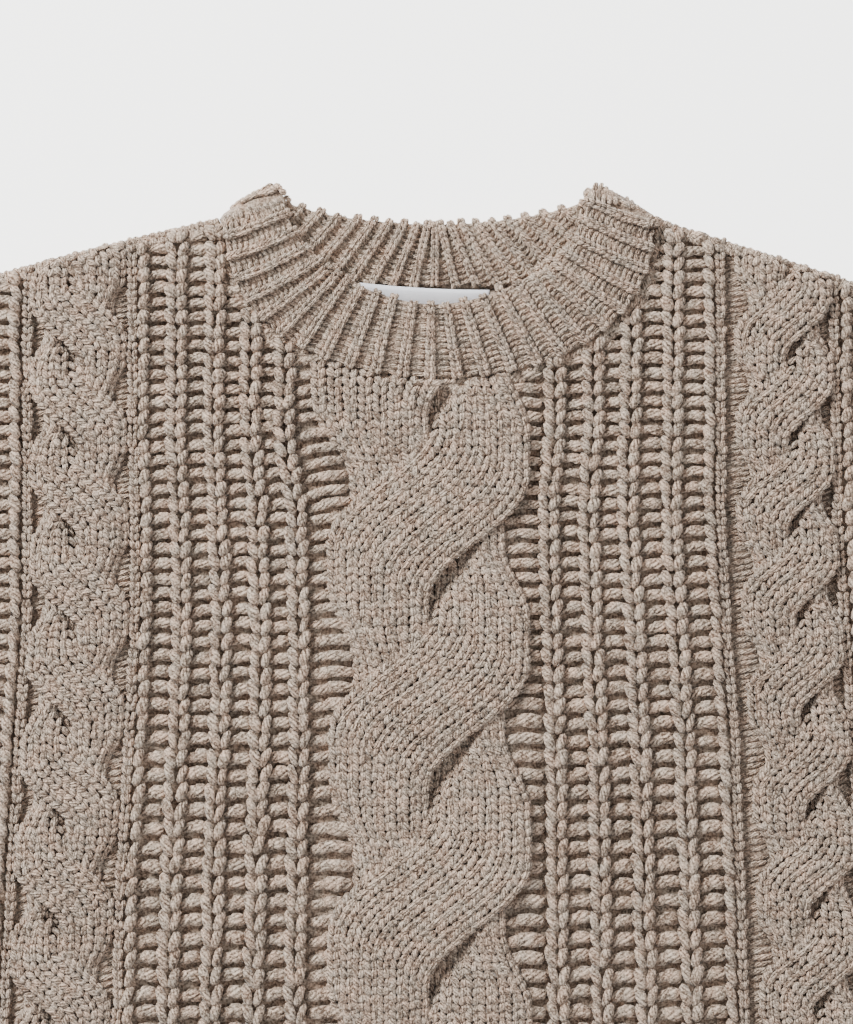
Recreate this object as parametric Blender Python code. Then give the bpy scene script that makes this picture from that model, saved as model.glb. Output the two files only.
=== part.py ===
"""Sweater dress in chunky cable knit, lying flat on its back with the front up.

Metres, +Z up, neck towards +Y, left and right as seen from above. Sizes along the
garment are drops: how far a point lies below the top of the neckband.
"""
import math
from functools import lru_cache

import bmesh
import bpy
from mathutils import Vector
from mathutils.geometry import delaunay_2d_cdt

MM = 0.001

# Whole garment
GARMENT_LENGTH = 900 * MM
HALF_CHEST = 285 * MM
HEM_RIB_HEIGHT = 60 * MM
SEAM_GAP = 0.3 * MM

# How far the knitting fans out on its way down: (drop, share of the chest width)
FAN = (
    (0 * MM, 0.955),
    (227 * MM, 1.000),
    (410 * MM, 1.050),
    (620 * MM, 1.090),
    (900 * MM, 1.120),
)

# Thickness of the layers that lie on each other
BACK_WALL = 4.0 * MM
FRONT_UNDERSIDE = BACK_WALL + SEAM_GAP
FRONT_WALL = 4.5 * MM
FOLD_EDGE = 1.4 * MM        # what is left of the front wall where it turns round a side
SEAM_EDGE = 3.0 * MM        # what is left of it where it is sewn to a rib or a sleeve
EDGE_ROUNDING = 9 * MM
EDGE_RING = 4 * MM          # distance of the extra row of points inside each outline

# Shoulder lines from the neckband out: (distance from the centre line, drop)
SHOULDER_LEFT = (
    (131 * MM, 22.8 * MM),
    (166 * MM, 31.1 * MM),
    (204 * MM, 40.6 * MM),
    (242 * MM, 51.1 * MM),
    (274 * MM, 60.0 * MM),
)
SHOULDER_RIGHT = (
    (135 * MM, 24.4 * MM),
    (156 * MM, 31.1 * MM),
    (192 * MM, 42.2 * MM),
    (232 * MM, 55.6 * MM),
    (274 * MM, 69.6 * MM),
)
ARMHOLE_DEPTH = 226 * MM

# Rope cables of two strands, at chest width:
# (centre, half width, rise, length between crossings, drop of the first crossing,
#  lean: 1 where the upper strand runs from upper right to lower left)
CABLES = (
    (-3.9 * MM, 56 * MM, 4.8 * MM, 110 * MM, 183 * MM, 1),
    (-197 * MM, 27 * MM, 4.0 * MM, 55 * MM, 78 * MM, -1),
    (197 * MM, 27 * MM, 4.0 * MM, 54 * MM, 75 * MM, 1),
)
CROSSING_REACH = 0.62       # half a crossing's length, as a share of the half width
CROSSING_SLANT = 0.60       # how much lower a wale crosses, for its distance sideways
# Rows lie closer together near the shoulders: (drop, share of a cable's repeat)
ROW_STRETCH = (
    (0 * MM, 0.82),
    (75 * MM, 0.86),
    (200 * MM, 0.96),
    (330 * MM, 1.02),
    (900 * MM, 1.02),
)
CABLE_COLUMNS = (14, 8, 8)
CABLE_ROW = 9.5 * MM

# Narrow ribs at chest width: (distance from the centre line, half width, rise)
RIBS = (
    (-272 * MM, 8 * MM, 2.2 * MM),
    (-250 * MM, 8 * MM, 2.2 * MM),
    (-227 * MM, 3 * MM, 1.8 * MM),
    (-164 * MM, 3 * MM, 1.8 * MM),
    (-140 * MM, 8 * MM, 2.2 * MM),
    (-117.5 * MM, 8 * MM, 2.2 * MM),
    (-95.5 * MM, 8 * MM, 2.2 * MM),
    (-74 * MM, 8 * MM, 2.2 * MM),
    (63 * MM, 8 * MM, 2.2 * MM),
    (86 * MM, 8 * MM, 2.2 * MM),
    (110 * MM, 8 * MM, 2.2 * MM),
    (133 * MM, 8 * MM, 2.2 * MM),
    (153 * MM, 7 * MM, 2.2 * MM),
    (163 * MM, 3 * MM, 1.8 * MM),
    (228 * MM, 3 * MM, 1.8 * MM),
    (250 * MM, 8 * MM, 2.2 * MM),
    (272 * MM, 8 * MM, 2.2 * MM),
)
RIB_ROW = 31 * MM

# Neckband: a double ribbed tube, pressed flat, so that it folds at both sides.
# Its middle surface runs from the seam edge to the rim.
BAND_THICKNESS = 7 * MM
BAND_RIBS = 44
BAND_RIB_RISE = 1.2 * MM
COLUMNS_PER_RIB = 4
FOLD_SEAM = {-1: (-118.0 * MM, 24.2 * MM), 1: (122.8 * MM, 24.4 * MM)}
FOLD_RIM = {-1: (-86.1 * MM, 5.0 * MM), 1: (87.2 * MM, 3.9 * MM)}
FOLD_RADIUS_SEAM = 4.25 * MM
FOLD_RADIUS_RIM = 5.0 * MM
FRONT_SEAM_DROP = 108.9 * MM
FRONT_RIM_DROP = 68.9 * MM
BACK_SEAM_DROP = 59.4 * MM
BACK_RIM_DROP = 23.9 * MM
FRONT_SEAM_POWER = 2.15     # 2 is an ellipse, more is squarer
FRONT_RIM_POWER = 1.8
BACK_SEAM_POWER = 2.4
BACK_RIM_POWER = 1.7
FRONT_SEAM_SETTLE = 3.8 * MM    # how far the front seam sinks onto the back panel
BACK_RIM_LIFT = 1.0 * MM

# Across the band's wall: (share of the way from seam to rim, side of the middle
# surface, share of the rib's rise)
BAND_SECTION = (
    (0.00, 0.90, 0.0),
    (0.10, 1.05, 1.0),
    (0.50, 1.25, 1.0),
    (0.88, 1.00, 1.0),
    (0.97, 0.60, 0.7),
    (1.00, 0.00, 0.4),
    (0.97, -0.60, 0.7),
    (0.88, -0.95, 1.0),
    (0.45, -1.00, 1.0),
    (0.00, -1.00, 0.0),
)

# Label at the back neck
LABEL_WIDTH = 72 * MM
LABEL_HEIGHT = 27 * MM
LABEL_THICKNESS = 0.8 * MM
LABEL_CENTRE = -5.5 * MM
LABEL_TOP_DROP = 60.6 * MM

# Sleeves, from the drop shoulder to the cuff
SLEEVE_LENGTH = 415 * MM
SLEEVE_ANGLE = math.radians(48)     # below the line of the shoulders
CUFF_LENGTH = 65 * MM
SLEEVE_END_WIDTH = 118 * MM
CUFF_WIDTH = 100 * MM
SLEEVE_HEIGHT = 9.4 * MM
SLEEVE_CROWN = 2.5 * MM
SLEEVE_HOLLOW = (4.1 * MM, 4.7 * MM)
SLEEVE_ROWS = 12
CUFF_RIBS = 8
RIB_TUBE_RISE = 1.6 * MM

# Soft folds in each sleeve, fanning out from the underarm:
# (share down the sleeve, share across from the top edge, half length, half width, rise)
SLEEVE_FOLDS = (
    (0.16, 0.62, 0.20, 0.10, 3.0 * MM),
    (0.34, 0.48, 0.22, 0.09, 2.2 * MM),
    (0.60, 0.55, 0.16, 0.11, 1.6 * MM),
)

HEM_RIBS = 50
HEM_WAIST = 0.985           # the rib draws the hem in a little

KNIT_COLOUR = (0.37, 0.305, 0.25, 1.0)
RIB_COLOUR = (0.35, 0.285, 0.235, 1.0)
LABEL_COLOUR = (0.83, 0.83, 0.86, 1.0)


# ---------------------------------------------------------------- small helpers

def clear_scene():
    for obj in list(bpy.data.objects):
        bpy.data.objects.remove(obj, do_unlink=True)


def make_material(name, colour, roughness):
    material = bpy.data.materials.new(name)
    material.use_nodes = True
    shader = material.node_tree.nodes["Principled BSDF"]
    shader.inputs["Base Color"].default_value = colour
    shader.inputs["Roughness"].default_value = roughness
    shader.inputs["Metallic"].default_value = 0.0
    return material


def make_object(name, bm, material):
    bmesh.ops.recalc_face_normals(bm, faces=bm.faces)
    mesh = bpy.data.meshes.new(name)
    bm.to_mesh(mesh)
    bm.free()
    mesh.materials.append(material)
    obj = bpy.data.objects.new(name, mesh)
    bpy.context.scene.collection.objects.link(obj)
    return obj


def read_table(table, drop):
    """Value at a drop of a table whose rows are (drop, value)."""
    for (upper, value_a), (lower, value_b) in zip(table, table[1:]):
        if drop <= lower:
            share = max(0.0, (drop - upper) / (lower - upper))
            return value_a + (value_b - value_a) * share
    return table[-1][1]


def spread(drop):
    """Width of the knitting at a drop, as a share of its width at the chest."""
    return read_table(FAN, drop)


def world(x, drop, z):
    return Vector((x, GARMENT_LENGTH / 2 - drop, z))


def steps(first, last, count):
    return [first + (last - first) * i / count for i in range(count + 1)]


# ---------------------------------------------------------------- relief of the knit

@lru_cache
def crossings(cable):
    """Drops of a cable's crossings, from above the shoulder to below the hem."""
    repeat, first = cable[3], cable[4]
    drops = [first]
    while drops[0] > -repeat:
        drops.insert(0, drops[0] - repeat * read_table(ROW_STRETCH, drops[0]))
    while drops[-1] < GARMENT_LENGTH + repeat:
        drops.append(drops[-1] + repeat * read_table(ROW_STRETCH, drops[-1]))
    return drops


def strand_offset(x, drop, crossing, cable):
    """How far a place lies from the middle of the strand that crosses at a drop."""
    centre, half_width, _, _, _, lean = cable
    low, high = -half_width, half_width
    for _ in range(16):
        offset = (low + high) / 2
        past = (drop - crossing - lean * CROSSING_SLANT * offset) / half_width
        swing = math.sin(max(-1.0, min(1.0, past / CROSSING_REACH)) * math.pi / 2)
        if centre + offset - lean * half_width / 2 * swing < x:
            low = offset
        else:
            high = offset
    return offset


def cable_height(x, drop, cable):
    """Height of a rope cable above the ground knitting, at chest width."""
    centre, half_width, rise, _, _, lean = cable
    highest = 0.0
    if abs(x - centre) > half_width:
        return highest
    drops = crossings(cable)
    for before, crossing, after in zip(drops, drops[1:], drops[2:]):
        if abs(drop - crossing) > (after - before):
            continue
        offset = strand_offset(x, drop, crossing, cable)
        away = abs(offset) / (half_width / 2)
        past = drop - crossing - lean * CROSSING_SLANT * offset
        turn = math.pi * past / (after - crossing if past > 0 else crossing - before)
        if away < 1.0 and abs(turn) < math.pi:
            level = 0.35 + 0.30 * math.cos(turn)
            dome = 0.65 * math.sqrt(1 - away * away)
            highest = max(highest, rise * (level + dome))
    return highest


def knit_relief(x, drop):
    """Cables and ribs at a place on the front, found on the fanned-out columns."""
    flat_x = x / spread(drop)
    height = max(cable_height(flat_x, drop, cable) for cable in CABLES)
    for centre, half_width, rise in RIBS:
        away = abs(flat_x - centre) / half_width
        if away < 1.0:
            height = max(height, rise * math.cos(away * math.pi / 2))
    return height


# ---------------------------------------------------------------- neckband's path

def fold_frame(side):
    """Direction from seam to rim at a side fold, and the one that points out of it."""
    seam = Vector(FOLD_SEAM[side])
    rim = Vector(FOLD_RIM[side])
    along = (rim - seam).normalized()
    out = Vector((along.y, -along.x)) * -side
    if out.y > 0:
        out = -out
    return along, out


def round_shape(turn, start, end, drop, power):
    """Point of a rounded neckline from its left end to its right end, at an angle."""
    side = math.cos(turn)
    middle = (start[0] + end[0]) / 2
    half = (end[0] - start[0]) / 2
    x = middle - half * math.copysign(abs(side) ** (2 / power), side)
    share = (x - start[0]) / (end[0] - start[0])
    top = start[1] + (end[1] - start[1]) * share
    depth = abs(math.sin(turn)) ** (2 / power)
    return x, top + (drop - top) * depth


def band_path(samples=240, fold_samples=16):
    """Seam and rim lines of the band's middle surface, all the way round.

    Each entry is (seam point, rim point, front share): 1 on the front, 0 on the back.
    """
    mid_seam = BAND_THICKNESS / 2 + FOLD_RADIUS_SEAM
    mid_rim = BAND_THICKNESS / 2 + BACK_RIM_LIFT + FOLD_RADIUS_RIM
    ends = {}
    for side in (-1, 1):
        out = fold_frame(side)[1]
        seam_end = Vector(FOLD_SEAM[side]) - out * FOLD_RADIUS_SEAM
        rim_end = Vector(FOLD_RIM[side]) - out * FOLD_RADIUS_RIM
        ends[side] = (seam_end, rim_end)

    path = []

    def add_fold(side, first, last):
        out = fold_frame(side)[1]
        for angle in steps(first, last, fold_samples)[:-1]:
            seam_end, rim_end = ends[side]
            seam = seam_end + out * FOLD_RADIUS_SEAM * math.cos(angle)
            rim = rim_end + out * FOLD_RADIUS_RIM * math.cos(angle)
            seam_z = mid_seam + FOLD_RADIUS_SEAM * math.sin(angle)
            rim_z = mid_rim + FOLD_RADIUS_RIM * math.sin(angle)
            front = 0.5 + 0.5 * math.sin(angle)
            path.append((world(*seam, seam_z), world(*rim, rim_z), front))

    def add_half(turns, seam_drop, seam_power, rim_drop, rim_power, level, front):
        for turn in turns:
            seam = round_shape(turn, ends[-1][0], ends[1][0], seam_drop, seam_power)
            rim = round_shape(turn, ends[-1][1], ends[1][1], rim_drop, rim_power)
            seam_z = mid_seam + level * FOLD_RADIUS_SEAM
            rim_z = mid_rim + level * FOLD_RADIUS_RIM
            if level > 0:
                seam_z -= FRONT_SEAM_SETTLE * math.sin(turn) ** 2
            path.append((world(*seam, seam_z), world(*rim, rim_z), front))

    add_fold(-1, -math.pi / 2, math.pi / 2)
    add_half(steps(0, math.pi, samples)[:-1], FRONT_SEAM_DROP, FRONT_SEAM_POWER,
             FRONT_RIM_DROP, FRONT_RIM_POWER, 1, 1.0)
    add_fold(1, math.pi / 2, -math.pi / 2)
    add_half(steps(math.pi, 0, samples)[:-1], BACK_SEAM_DROP, BACK_SEAM_POWER,
             BACK_RIM_DROP, BACK_RIM_POWER, -1, 0.0)
    return path


def even_band_path(columns):
    """The band's path again, at columns that lie evenly along its seam edge."""
    dense = band_path()
    lengths = [0.0]
    for here, after in zip(dense, dense[1:] + dense[:1]):
        lengths.append(lengths[-1] + (after[0] - here[0]).length)
    even = []
    index = 0
    for column in range(columns):
        wanted = lengths[-1] * column / columns
        while lengths[index + 1] < wanted:
            index += 1
        share = (wanted - lengths[index]) / (lengths[index + 1] - lengths[index])
        here = dense[index]
        after = dense[(index + 1) % len(dense)]
        even.append((here[0].lerp(after[0], share), here[1].lerp(after[1], share),
                     here[2] + (after[2] - here[2]) * share))
    return even


def neckline(front):
    """A panel's neck edge from left to right, a seam gap outside the band's seam edge."""
    ends = []
    for side in (-1, 1):
        along, out = fold_frame(side)
        clear = Vector(FOLD_SEAM[side]) - along * SEAM_GAP
        corner = clear + out * (BAND_THICKNESS / 2 + BAND_RIB_RISE)
        ends.append([tuple(corner), tuple(clear)])
    path = even_band_path(BAND_RIBS * COLUMNS_PER_RIB)
    if not front:
        middle_of_front = len(path) // 4
        path = path[middle_of_front:] + path[:middle_of_front]
        path.reverse()
    curve = []
    for seam, rim, share in path:
        if (share > 0.5) == front:
            outward = Vector((seam.x - rim.x, seam.y - rim.y)).normalized() * SEAM_GAP
            drop = GARMENT_LENGTH / 2 - (seam.y + outward.y)
            curve.append((seam.x + outward.x, drop))
    return ends[0] + curve + ends[1][::-1]


# ---------------------------------------------------------------- panels

def body_outline(front):
    """Outline of a body piece, and for each of its edges whether it is folded over."""
    bottom = GARMENT_LENGTH - HEM_RIB_HEIGHT
    neck = neckline(front)
    right_shoulder = list(SHOULDER_RIGHT)
    right_under = SHOULDER_RIGHT[-1][1] + ARMHOLE_DEPTH
    left_under = SHOULDER_LEFT[-1][1] + ARMHOLE_DEPTH
    right_arm = [(HALF_CHEST * spread(drop), drop)
                 for drop in steps(SHOULDER_RIGHT[-1][1], right_under, 10)[1:]]
    right_side = [(HALF_CHEST * spread(drop), drop)
                  for drop in steps(right_under, bottom, 26)[1:]]
    hem = [(HALF_CHEST * spread(bottom) * share, bottom) for share in steps(1, -1, 26)[1:-1]]
    left_side = [(-HALF_CHEST * spread(drop), drop)
                 for drop in steps(bottom, left_under, 26)]
    left_arm = [(-HALF_CHEST * spread(drop), drop)
                for drop in steps(left_under, SHOULDER_LEFT[-1][1], 10)[1:-1]]
    left_shoulder = [(-x, drop) for x, drop in reversed(SHOULDER_LEFT)]

    outline = []
    folded = []
    for stretch, is_fold in ((neck, False), (right_shoulder, True), (right_arm, False),
                             (right_side, True), (hem, False), (left_side, True),
                             (left_arm, False), (left_shoulder, True)):
        outline += stretch
        folded += [is_fold] * len(stretch)
    return outline, folded


def inside(point, outline):
    x, y = point
    odd = False
    for (ax, ay), (bx, by) in zip(outline, outline[1:] + outline[:1]):
        if (ay > y) != (by > y) and x < ax + (bx - ax) * (y - ay) / (by - ay):
            odd = not odd
    return odd


def nearest_edge(point, outline):
    """Distance to an outline, and the number of the edge that is nearest."""
    x, y = point
    best = (1e9, 0)
    for index, (ax, ay) in enumerate(outline):
        bx, by = outline[(index + 1) % len(outline)]
        dx, dy = bx - ax, by - ay
        share = ((x - ax) * dx + (y - ay) * dy) / (dx * dx + dy * dy)
        share = min(1.0, max(0.0, share))
        away = math.hypot(x - ax - dx * share, y - ay - dy * share)
        best = min(best, (away, index))
    return best


def inner_ring(outline, distance):
    """An outline's points moved inwards by a distance, where that is still inside."""
    ring = []
    for index, here in enumerate(outline):
        before = Vector(outline[index - 1])
        after = Vector(outline[(index + 1) % len(outline)])
        tangent = (after - before).normalized()
        for sign in (-1, 1):
            moved = Vector(here) + Vector((-tangent.y, tangent.x)) * distance * sign
            if inside(moved, outline) and nearest_edge(moved, outline)[0] > distance * 0.8:
                ring.append(tuple(moved))
    return ring


def fill_outline(outline, points):
    """Triangles over an outline and the points inside it."""
    corners = [Vector(p) for p in outline + points]
    ring = list(range(len(outline)))
    verts, _, faces, _, _, _ = delaunay_2d_cdt(corners, [], [ring], 1, 1e-6)
    return verts, faces


def layered_solid(outline, top_points, bottom_points, top, bottom):
    """A closed wall between a modelled upper face and a plainer lower face."""
    bm = bmesh.new()
    rims = []
    for points, height in ((top_points, top), (bottom_points, bottom)):
        verts, faces = fill_outline(outline, points)
        made = [bm.verts.new(world(v.x, v.y, height(v.x, v.y))) for v in verts]
        for face in faces:
            bm.faces.new([made[i] for i in face])
        rims.append(made[:len(outline)])
    upper, lower = rims
    count = len(outline)
    for i in range(count):
        j = (i + 1) % count
        bm.faces.new((upper[i], upper[j], lower[j], lower[i]))
    bmesh.ops.triangulate(bm, faces=[f for f in bm.faces if len(f.verts) > 3])
    return bm


def knit_points(outline):
    """Places for points on the front: close together on the cables, sparse on ribs."""
    points = []
    for (centre, half_width, *_), count in zip(CABLES, CABLE_COLUMNS):
        rows = int(GARMENT_LENGTH / CABLE_ROW)
        for row in range(rows):
            drop = row * CABLE_ROW
            for x in steps(centre - half_width * 0.99, centre + half_width * 0.99, count):
                points.append((x * spread(drop), drop))
            for x in (centre - half_width * 1.06, centre + half_width * 1.06):
                if row % 2 == 0:
                    points.append((x * spread(drop), drop))
    rows = int(GARMENT_LENGTH / RIB_ROW)
    for row in range(rows):
        drop = row * RIB_ROW
        for centre, half_width, _ in RIBS:
            for x in (centre - half_width, centre, centre + half_width):
                points.append((x * spread(drop), drop))
    bottom = GARMENT_LENGTH - HEM_RIB_HEIGHT
    kept = []
    for point in points:
        if point[1] < bottom and inside(point, outline):
            if nearest_edge(point, outline)[0] > EDGE_RING * 1.4:
                kept.append(point)
    return kept


def front_panel(material):
    outline, folded = body_outline(front=True)

    def top(x, drop):
        away, edge = nearest_edge((x, drop), outline)
        left_over = FOLD_EDGE if folded[edge] else SEAM_EDGE
        share = min(1.0, away / EDGE_ROUNDING)
        rounding = math.sqrt(1 - (1 - share) ** 2)
        full = FRONT_WALL + knit_relief(x, drop)
        return FRONT_UNDERSIDE + left_over + (full - left_over) * rounding

    def bottom(x, drop):
        return FRONT_UNDERSIDE

    ring = inner_ring(outline, EDGE_RING)
    bm = layered_solid(outline, knit_points(outline) + ring, [], top, bottom)
    return make_object("front_panel", bm, material)


def back_panel(material):
    outline, folded = body_outline(front=False)
    ring = inner_ring(outline, EDGE_RING)

    def top(x, drop):
        return BACK_WALL

    def bottom(x, drop):
        away, edge = nearest_edge((x, drop), outline)
        rounding = 1.5 * MM if folded[edge] else 0.0
        return rounding if away < EDGE_RING / 2 else 0.0

    bm = layered_solid(outline, [], ring, top, bottom)
    return make_object("back_panel", bm, material)


def hem_rib(name, front, material):
    """Ribbed border under a body piece. The back one lies on the floor and is plain."""
    top_edge = GARMENT_LENGTH - HEM_RIB_HEIGHT + SEAM_GAP
    bottom_edge = GARMENT_LENGTH
    widest = HALF_CHEST * spread(top_edge)
    columns = steps(-1, 1, HEM_RIBS * 2 if front else 2)

    def half(drop):
        share = (drop - top_edge) / (bottom_edge - top_edge)
        return widest * (1 + (HEM_WAIST - 1) * share)

    def row(drop, shares):
        return [(share * half(drop), drop) for share in shares]

    outline = row(top_edge, columns) + row(bottom_edge, reversed(columns))

    def top(x, drop):
        if not front:
            return BACK_WALL
        place = (x / half(drop) + 1) / 2
        ridge = 0.5 - 0.5 * math.cos(place * HEM_RIBS * 2 * math.pi)
        away = min(drop - top_edge, bottom_edge - drop, half(drop) - abs(x))
        rounding = 0.45 + 0.55 * min(1.0, away / EDGE_RING)
        return FRONT_UNDERSIDE + (FRONT_WALL + RIB_TUBE_RISE * ridge) * rounding

    def bottom(x, drop):
        return FRONT_UNDERSIDE if front else 0.0

    points = []
    if front:
        for drop in (top_edge + EDGE_RING, bottom_edge - EDGE_RING):
            points += row(drop, columns[1:-1])
    bm = layered_solid(outline, points, [], top, bottom)
    return make_object(name, bm, material)


# ---------------------------------------------------------------- neckband and label

def neckband(material):
    columns = BAND_RIBS * COLUMNS_PER_RIB
    path = even_band_path(columns)
    bm = bmesh.new()
    rings = []
    for column, (seam, rim, front) in enumerate(path):
        before = path[column - 1]
        after = path[(column + 1) % columns]
        tangent = (after[0] - before[0]) + (after[1] - before[1])
        along = Vector((rim.x - seam.x, rim.y - seam.y, 0))
        out = tangent.cross(along).normalized()
        ridge = 0.5 - 0.5 * math.cos(2 * math.pi * column / COLUMNS_PER_RIB)
        flatness = abs(2 * front - 1) ** 4
        ring = []
        for share, side, rise_share in BAND_SECTION:
            rise = BAND_RIB_RISE * ridge * rise_share
            if side < 0:
                rise *= flatness
            offset = math.copysign(1, side) * rise if side else 0.0
            point = seam.lerp(rim, share) + out * (side * BAND_THICKNESS / 2 + offset)
            point.z = max(0.0, point.z)
            ring.append(bm.verts.new(point))
        rings.append(ring)
    for ring, following in zip(rings, rings[1:] + rings[:1]):
        for i in range(len(ring)):
            j = (i + 1) % len(ring)
            bm.faces.new((ring[i], ring[j], following[j], following[i]))
    bmesh.ops.triangulate(bm, faces=bm.faces)
    return make_object("neckband", bm, material)


def neck_label(material):
    bm = bmesh.new()
    bmesh.ops.create_grid(bm, x_segments=8, y_segments=3, size=0.5)
    bmesh.ops.scale(bm, vec=(LABEL_WIDTH, LABEL_HEIGHT, 1), verts=bm.verts)
    centre = world(LABEL_CENTRE, LABEL_TOP_DROP + LABEL_HEIGHT / 2, FRONT_UNDERSIDE)
    bmesh.ops.translate(bm, vec=centre, verts=bm.verts)
    extruded = bmesh.ops.extrude_face_region(bm, geom=bm.faces[:])
    lifted = [item for item in extruded["geom"] if isinstance(item, bmesh.types.BMVert)]
    bmesh.ops.translate(bm, vec=(0, 0, LABEL_THICKNESS), verts=lifted)
    return make_object("neck_label", bm, material)


# ---------------------------------------------------------------- sleeves and cuffs

def sleeve_corners(side):
    """Ends of a sleeve's armhole line and of its cuff line, upper edge first."""
    shoulder = SHOULDER_LEFT[-1] if side < 0 else SHOULDER_RIGHT[-1]
    top = Vector((HALF_CHEST * spread(shoulder[1]) + SEAM_GAP, shoulder[1]))
    under_drop = shoulder[1] + ARMHOLE_DEPTH
    under = Vector((HALF_CHEST * spread(under_drop) + SEAM_GAP, under_drop))
    down = Vector((math.cos(SLEEVE_ANGLE), math.sin(SLEEVE_ANGLE)))
    across = Vector((-math.sin(SLEEVE_ANGLE), math.cos(SLEEVE_ANGLE)))
    wrist_top = top + down * SLEEVE_LENGTH
    wrist_under = wrist_top + across * SLEEVE_END_WIDTH
    corners = (top, under, wrist_top, wrist_under)
    return [Vector((point.x * side, point.y)) for point in corners], down, across


def tube_section(start, end, top_height, across_steps):
    """Outer and inner rings of a flattened tube whose section runs from start to end."""
    outer = []
    inner = []
    low, high = SLEEVE_HOLLOW
    margin = BACK_WALL / (end - start).length
    rows = ((across_steps, False), (list(reversed(across_steps)), True))
    for shares, is_top in rows:
        for share in shares:
            place = start.lerp(end, share)
            height = top_height(share) if is_top else 0.0
            outer.append(world(place.x, place.y, height))
            inner_share = margin + (1 - 2 * margin) * share
            place = start.lerp(end, inner_share)
            inner.append(world(place.x, place.y, high if is_top else low))
        last = 1.0 if not is_top else 0.0
        place = start.lerp(end, last)
        outer.append(world(place.x, place.y, SLEEVE_HOLLOW[1]))
        place = start.lerp(end, margin * 0.8 + (1 - margin * 1.6) * last)
        inner.append(world(place.x, place.y, (low + high) / 2))
    return outer, inner


def tube_solid(sections):
    """Joins the rings of a tube and closes the wall at both of its open ends."""
    bm = bmesh.new()
    made = []
    for outer, inner in sections:
        made.append(([bm.verts.new(p) for p in outer], [bm.verts.new(p) for p in inner]))
    count = len(made[0][0])
    for (outer, inner), (next_outer, next_inner) in zip(made, made[1:]):
        for i in range(count):
            j = (i + 1) % count
            bm.faces.new((outer[i], outer[j], next_outer[j], next_outer[i]))
            bm.faces.new((inner[i], next_inner[i], next_inner[j], inner[j]))
    for outer, inner in (made[0], made[-1]):
        for i in range(count):
            j = (i + 1) % count
            bm.faces.new((outer[i], inner[i], inner[j], outer[j]))
    bmesh.ops.triangulate(bm, faces=bm.faces)
    return bm


def fold_rise(down_share, across_share):
    rise = 0.0
    for down, across, half_length, half_width, height in SLEEVE_FOLDS:
        lean = (down_share - down) * 0.35
        away = math.hypot((down_share - down) / half_length,
                          (across_share - across - lean) / half_width)
        if away < 1:
            rise = max(rise, height * (0.5 + 0.5 * math.cos(math.pi * away)))
    return rise


def sleeve(name, side, material):
    corners = sleeve_corners(side)[0]
    top, under, wrist_top, wrist_under = corners
    across_steps = [0.02] + steps(0.1, 0.9, 10) + [0.98]
    sections = []
    for down_share in steps(0, 1, SLEEVE_ROWS):
        end_drop = 1.0 if 0.02 < down_share < 0.98 else 0.75

        def height(share, down_share=down_share, end_drop=end_drop):
            crown = SLEEVE_CROWN * math.sin(math.pi * share) ** 0.5
            shoulder = min(1.0, math.sin(math.pi * share) * 4)
            plain = SLEEVE_HOLLOW[1] + (SLEEVE_HEIGHT - SLEEVE_HOLLOW[1]) * shoulder
            return plain * end_drop + crown * end_drop + fold_rise(down_share, share)

        start = top.lerp(wrist_top, down_share)
        end = under.lerp(wrist_under, down_share)
        sections.append(tube_section(start, end, height, across_steps))
    return make_object(name, tube_solid(sections), material)


def cuff(name, side, material):
    corners, down, across = sleeve_corners(side)
    wrist_top, wrist_under = corners[2], corners[3]
    down = Vector((down.x * side, down.y))
    across = Vector((across.x * side, across.y))
    middle = (wrist_top + wrist_under) / 2
    across_steps = [0.015] + steps(0.06, 0.94, CUFF_RIBS * 2) + [0.985]
    rib_first, rib_last = 0.06, 0.94

    def height(share):
        place = (share - rib_first) / (rib_last - rib_first)
        ridge = 0.5 - 0.5 * math.cos(place * CUFF_RIBS * 2 * math.pi)
        shoulder = min(1.0, math.sin(math.pi * share) * 4)
        return SLEEVE_HOLLOW[1] + (SLEEVE_HEIGHT - SLEEVE_HOLLOW[1]
                                   + RIB_TUBE_RISE * ridge) * shoulder

    sections = []
    for share, rise in ((0.0, 0.8), (0.08, 1.0), (0.92, 1.0), (1.0, 0.8)):
        centre = middle + down * (SEAM_GAP + CUFF_LENGTH * share)
        half = across * CUFF_WIDTH / 2
        sections.append(tube_section(centre - half, centre + half,
                                     lambda s, rise=rise: height(s) * rise, across_steps))
    return make_object(name, tube_solid(sections), material)


# ---------------------------------------------------------------- the whole garment

def centre_on_floor(objects):
    """Moves every mesh so that the garment's outline is centred on the origin."""
    corners = [v.co for obj in objects for v in obj.data.vertices]
    low = Vector((min(c.x for c in corners), min(c.y for c in corners), 0))
    high = Vector((max(c.x for c in corners), max(c.y for c in corners), 0))
    for obj in objects:
        for vert in obj.data.vertices:
            vert.co -= (low + high) / 2


def main():
    clear_scene()
    knit = make_material("taupe_cable_knit", KNIT_COLOUR, 0.95)
    rib = make_material("taupe_rib_knit", RIB_COLOUR, 0.95)
    satin = make_material("white_satin", LABEL_COLOUR, 0.4)
    objects = [
        front_panel(knit),
        back_panel(knit),
        hem_rib("front_hem_rib", True, rib),
        hem_rib("back_hem_rib", False, rib),
        neckband(rib),
        neck_label(satin),
    ]
    for side, word in ((-1, "left"), (1, "right")):
        objects.append(sleeve("sleeve_" + word, side, knit))
        objects.append(cuff("cuff_" + word, side, rib))
    centre_on_floor(objects)


main()
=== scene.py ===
# %% [markdown]
# # A chunky cable-knit sweater dress, laid flat
#
# The real object is knitted from one thick, soft, heathered yarn. Everything that the eye
# reads on it, from the big rope cable to the neck rib, is made of short bends of that yarn.
# So this lesson makes one small yarn leaf, and lays many thousands of them on the form that
# the CAD model gives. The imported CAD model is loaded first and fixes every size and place.

import math
from collections import namedtuple

import bmesh
import bpy
import numpy as np
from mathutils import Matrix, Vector
from mathutils.bvhtree import BVHTree


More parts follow.
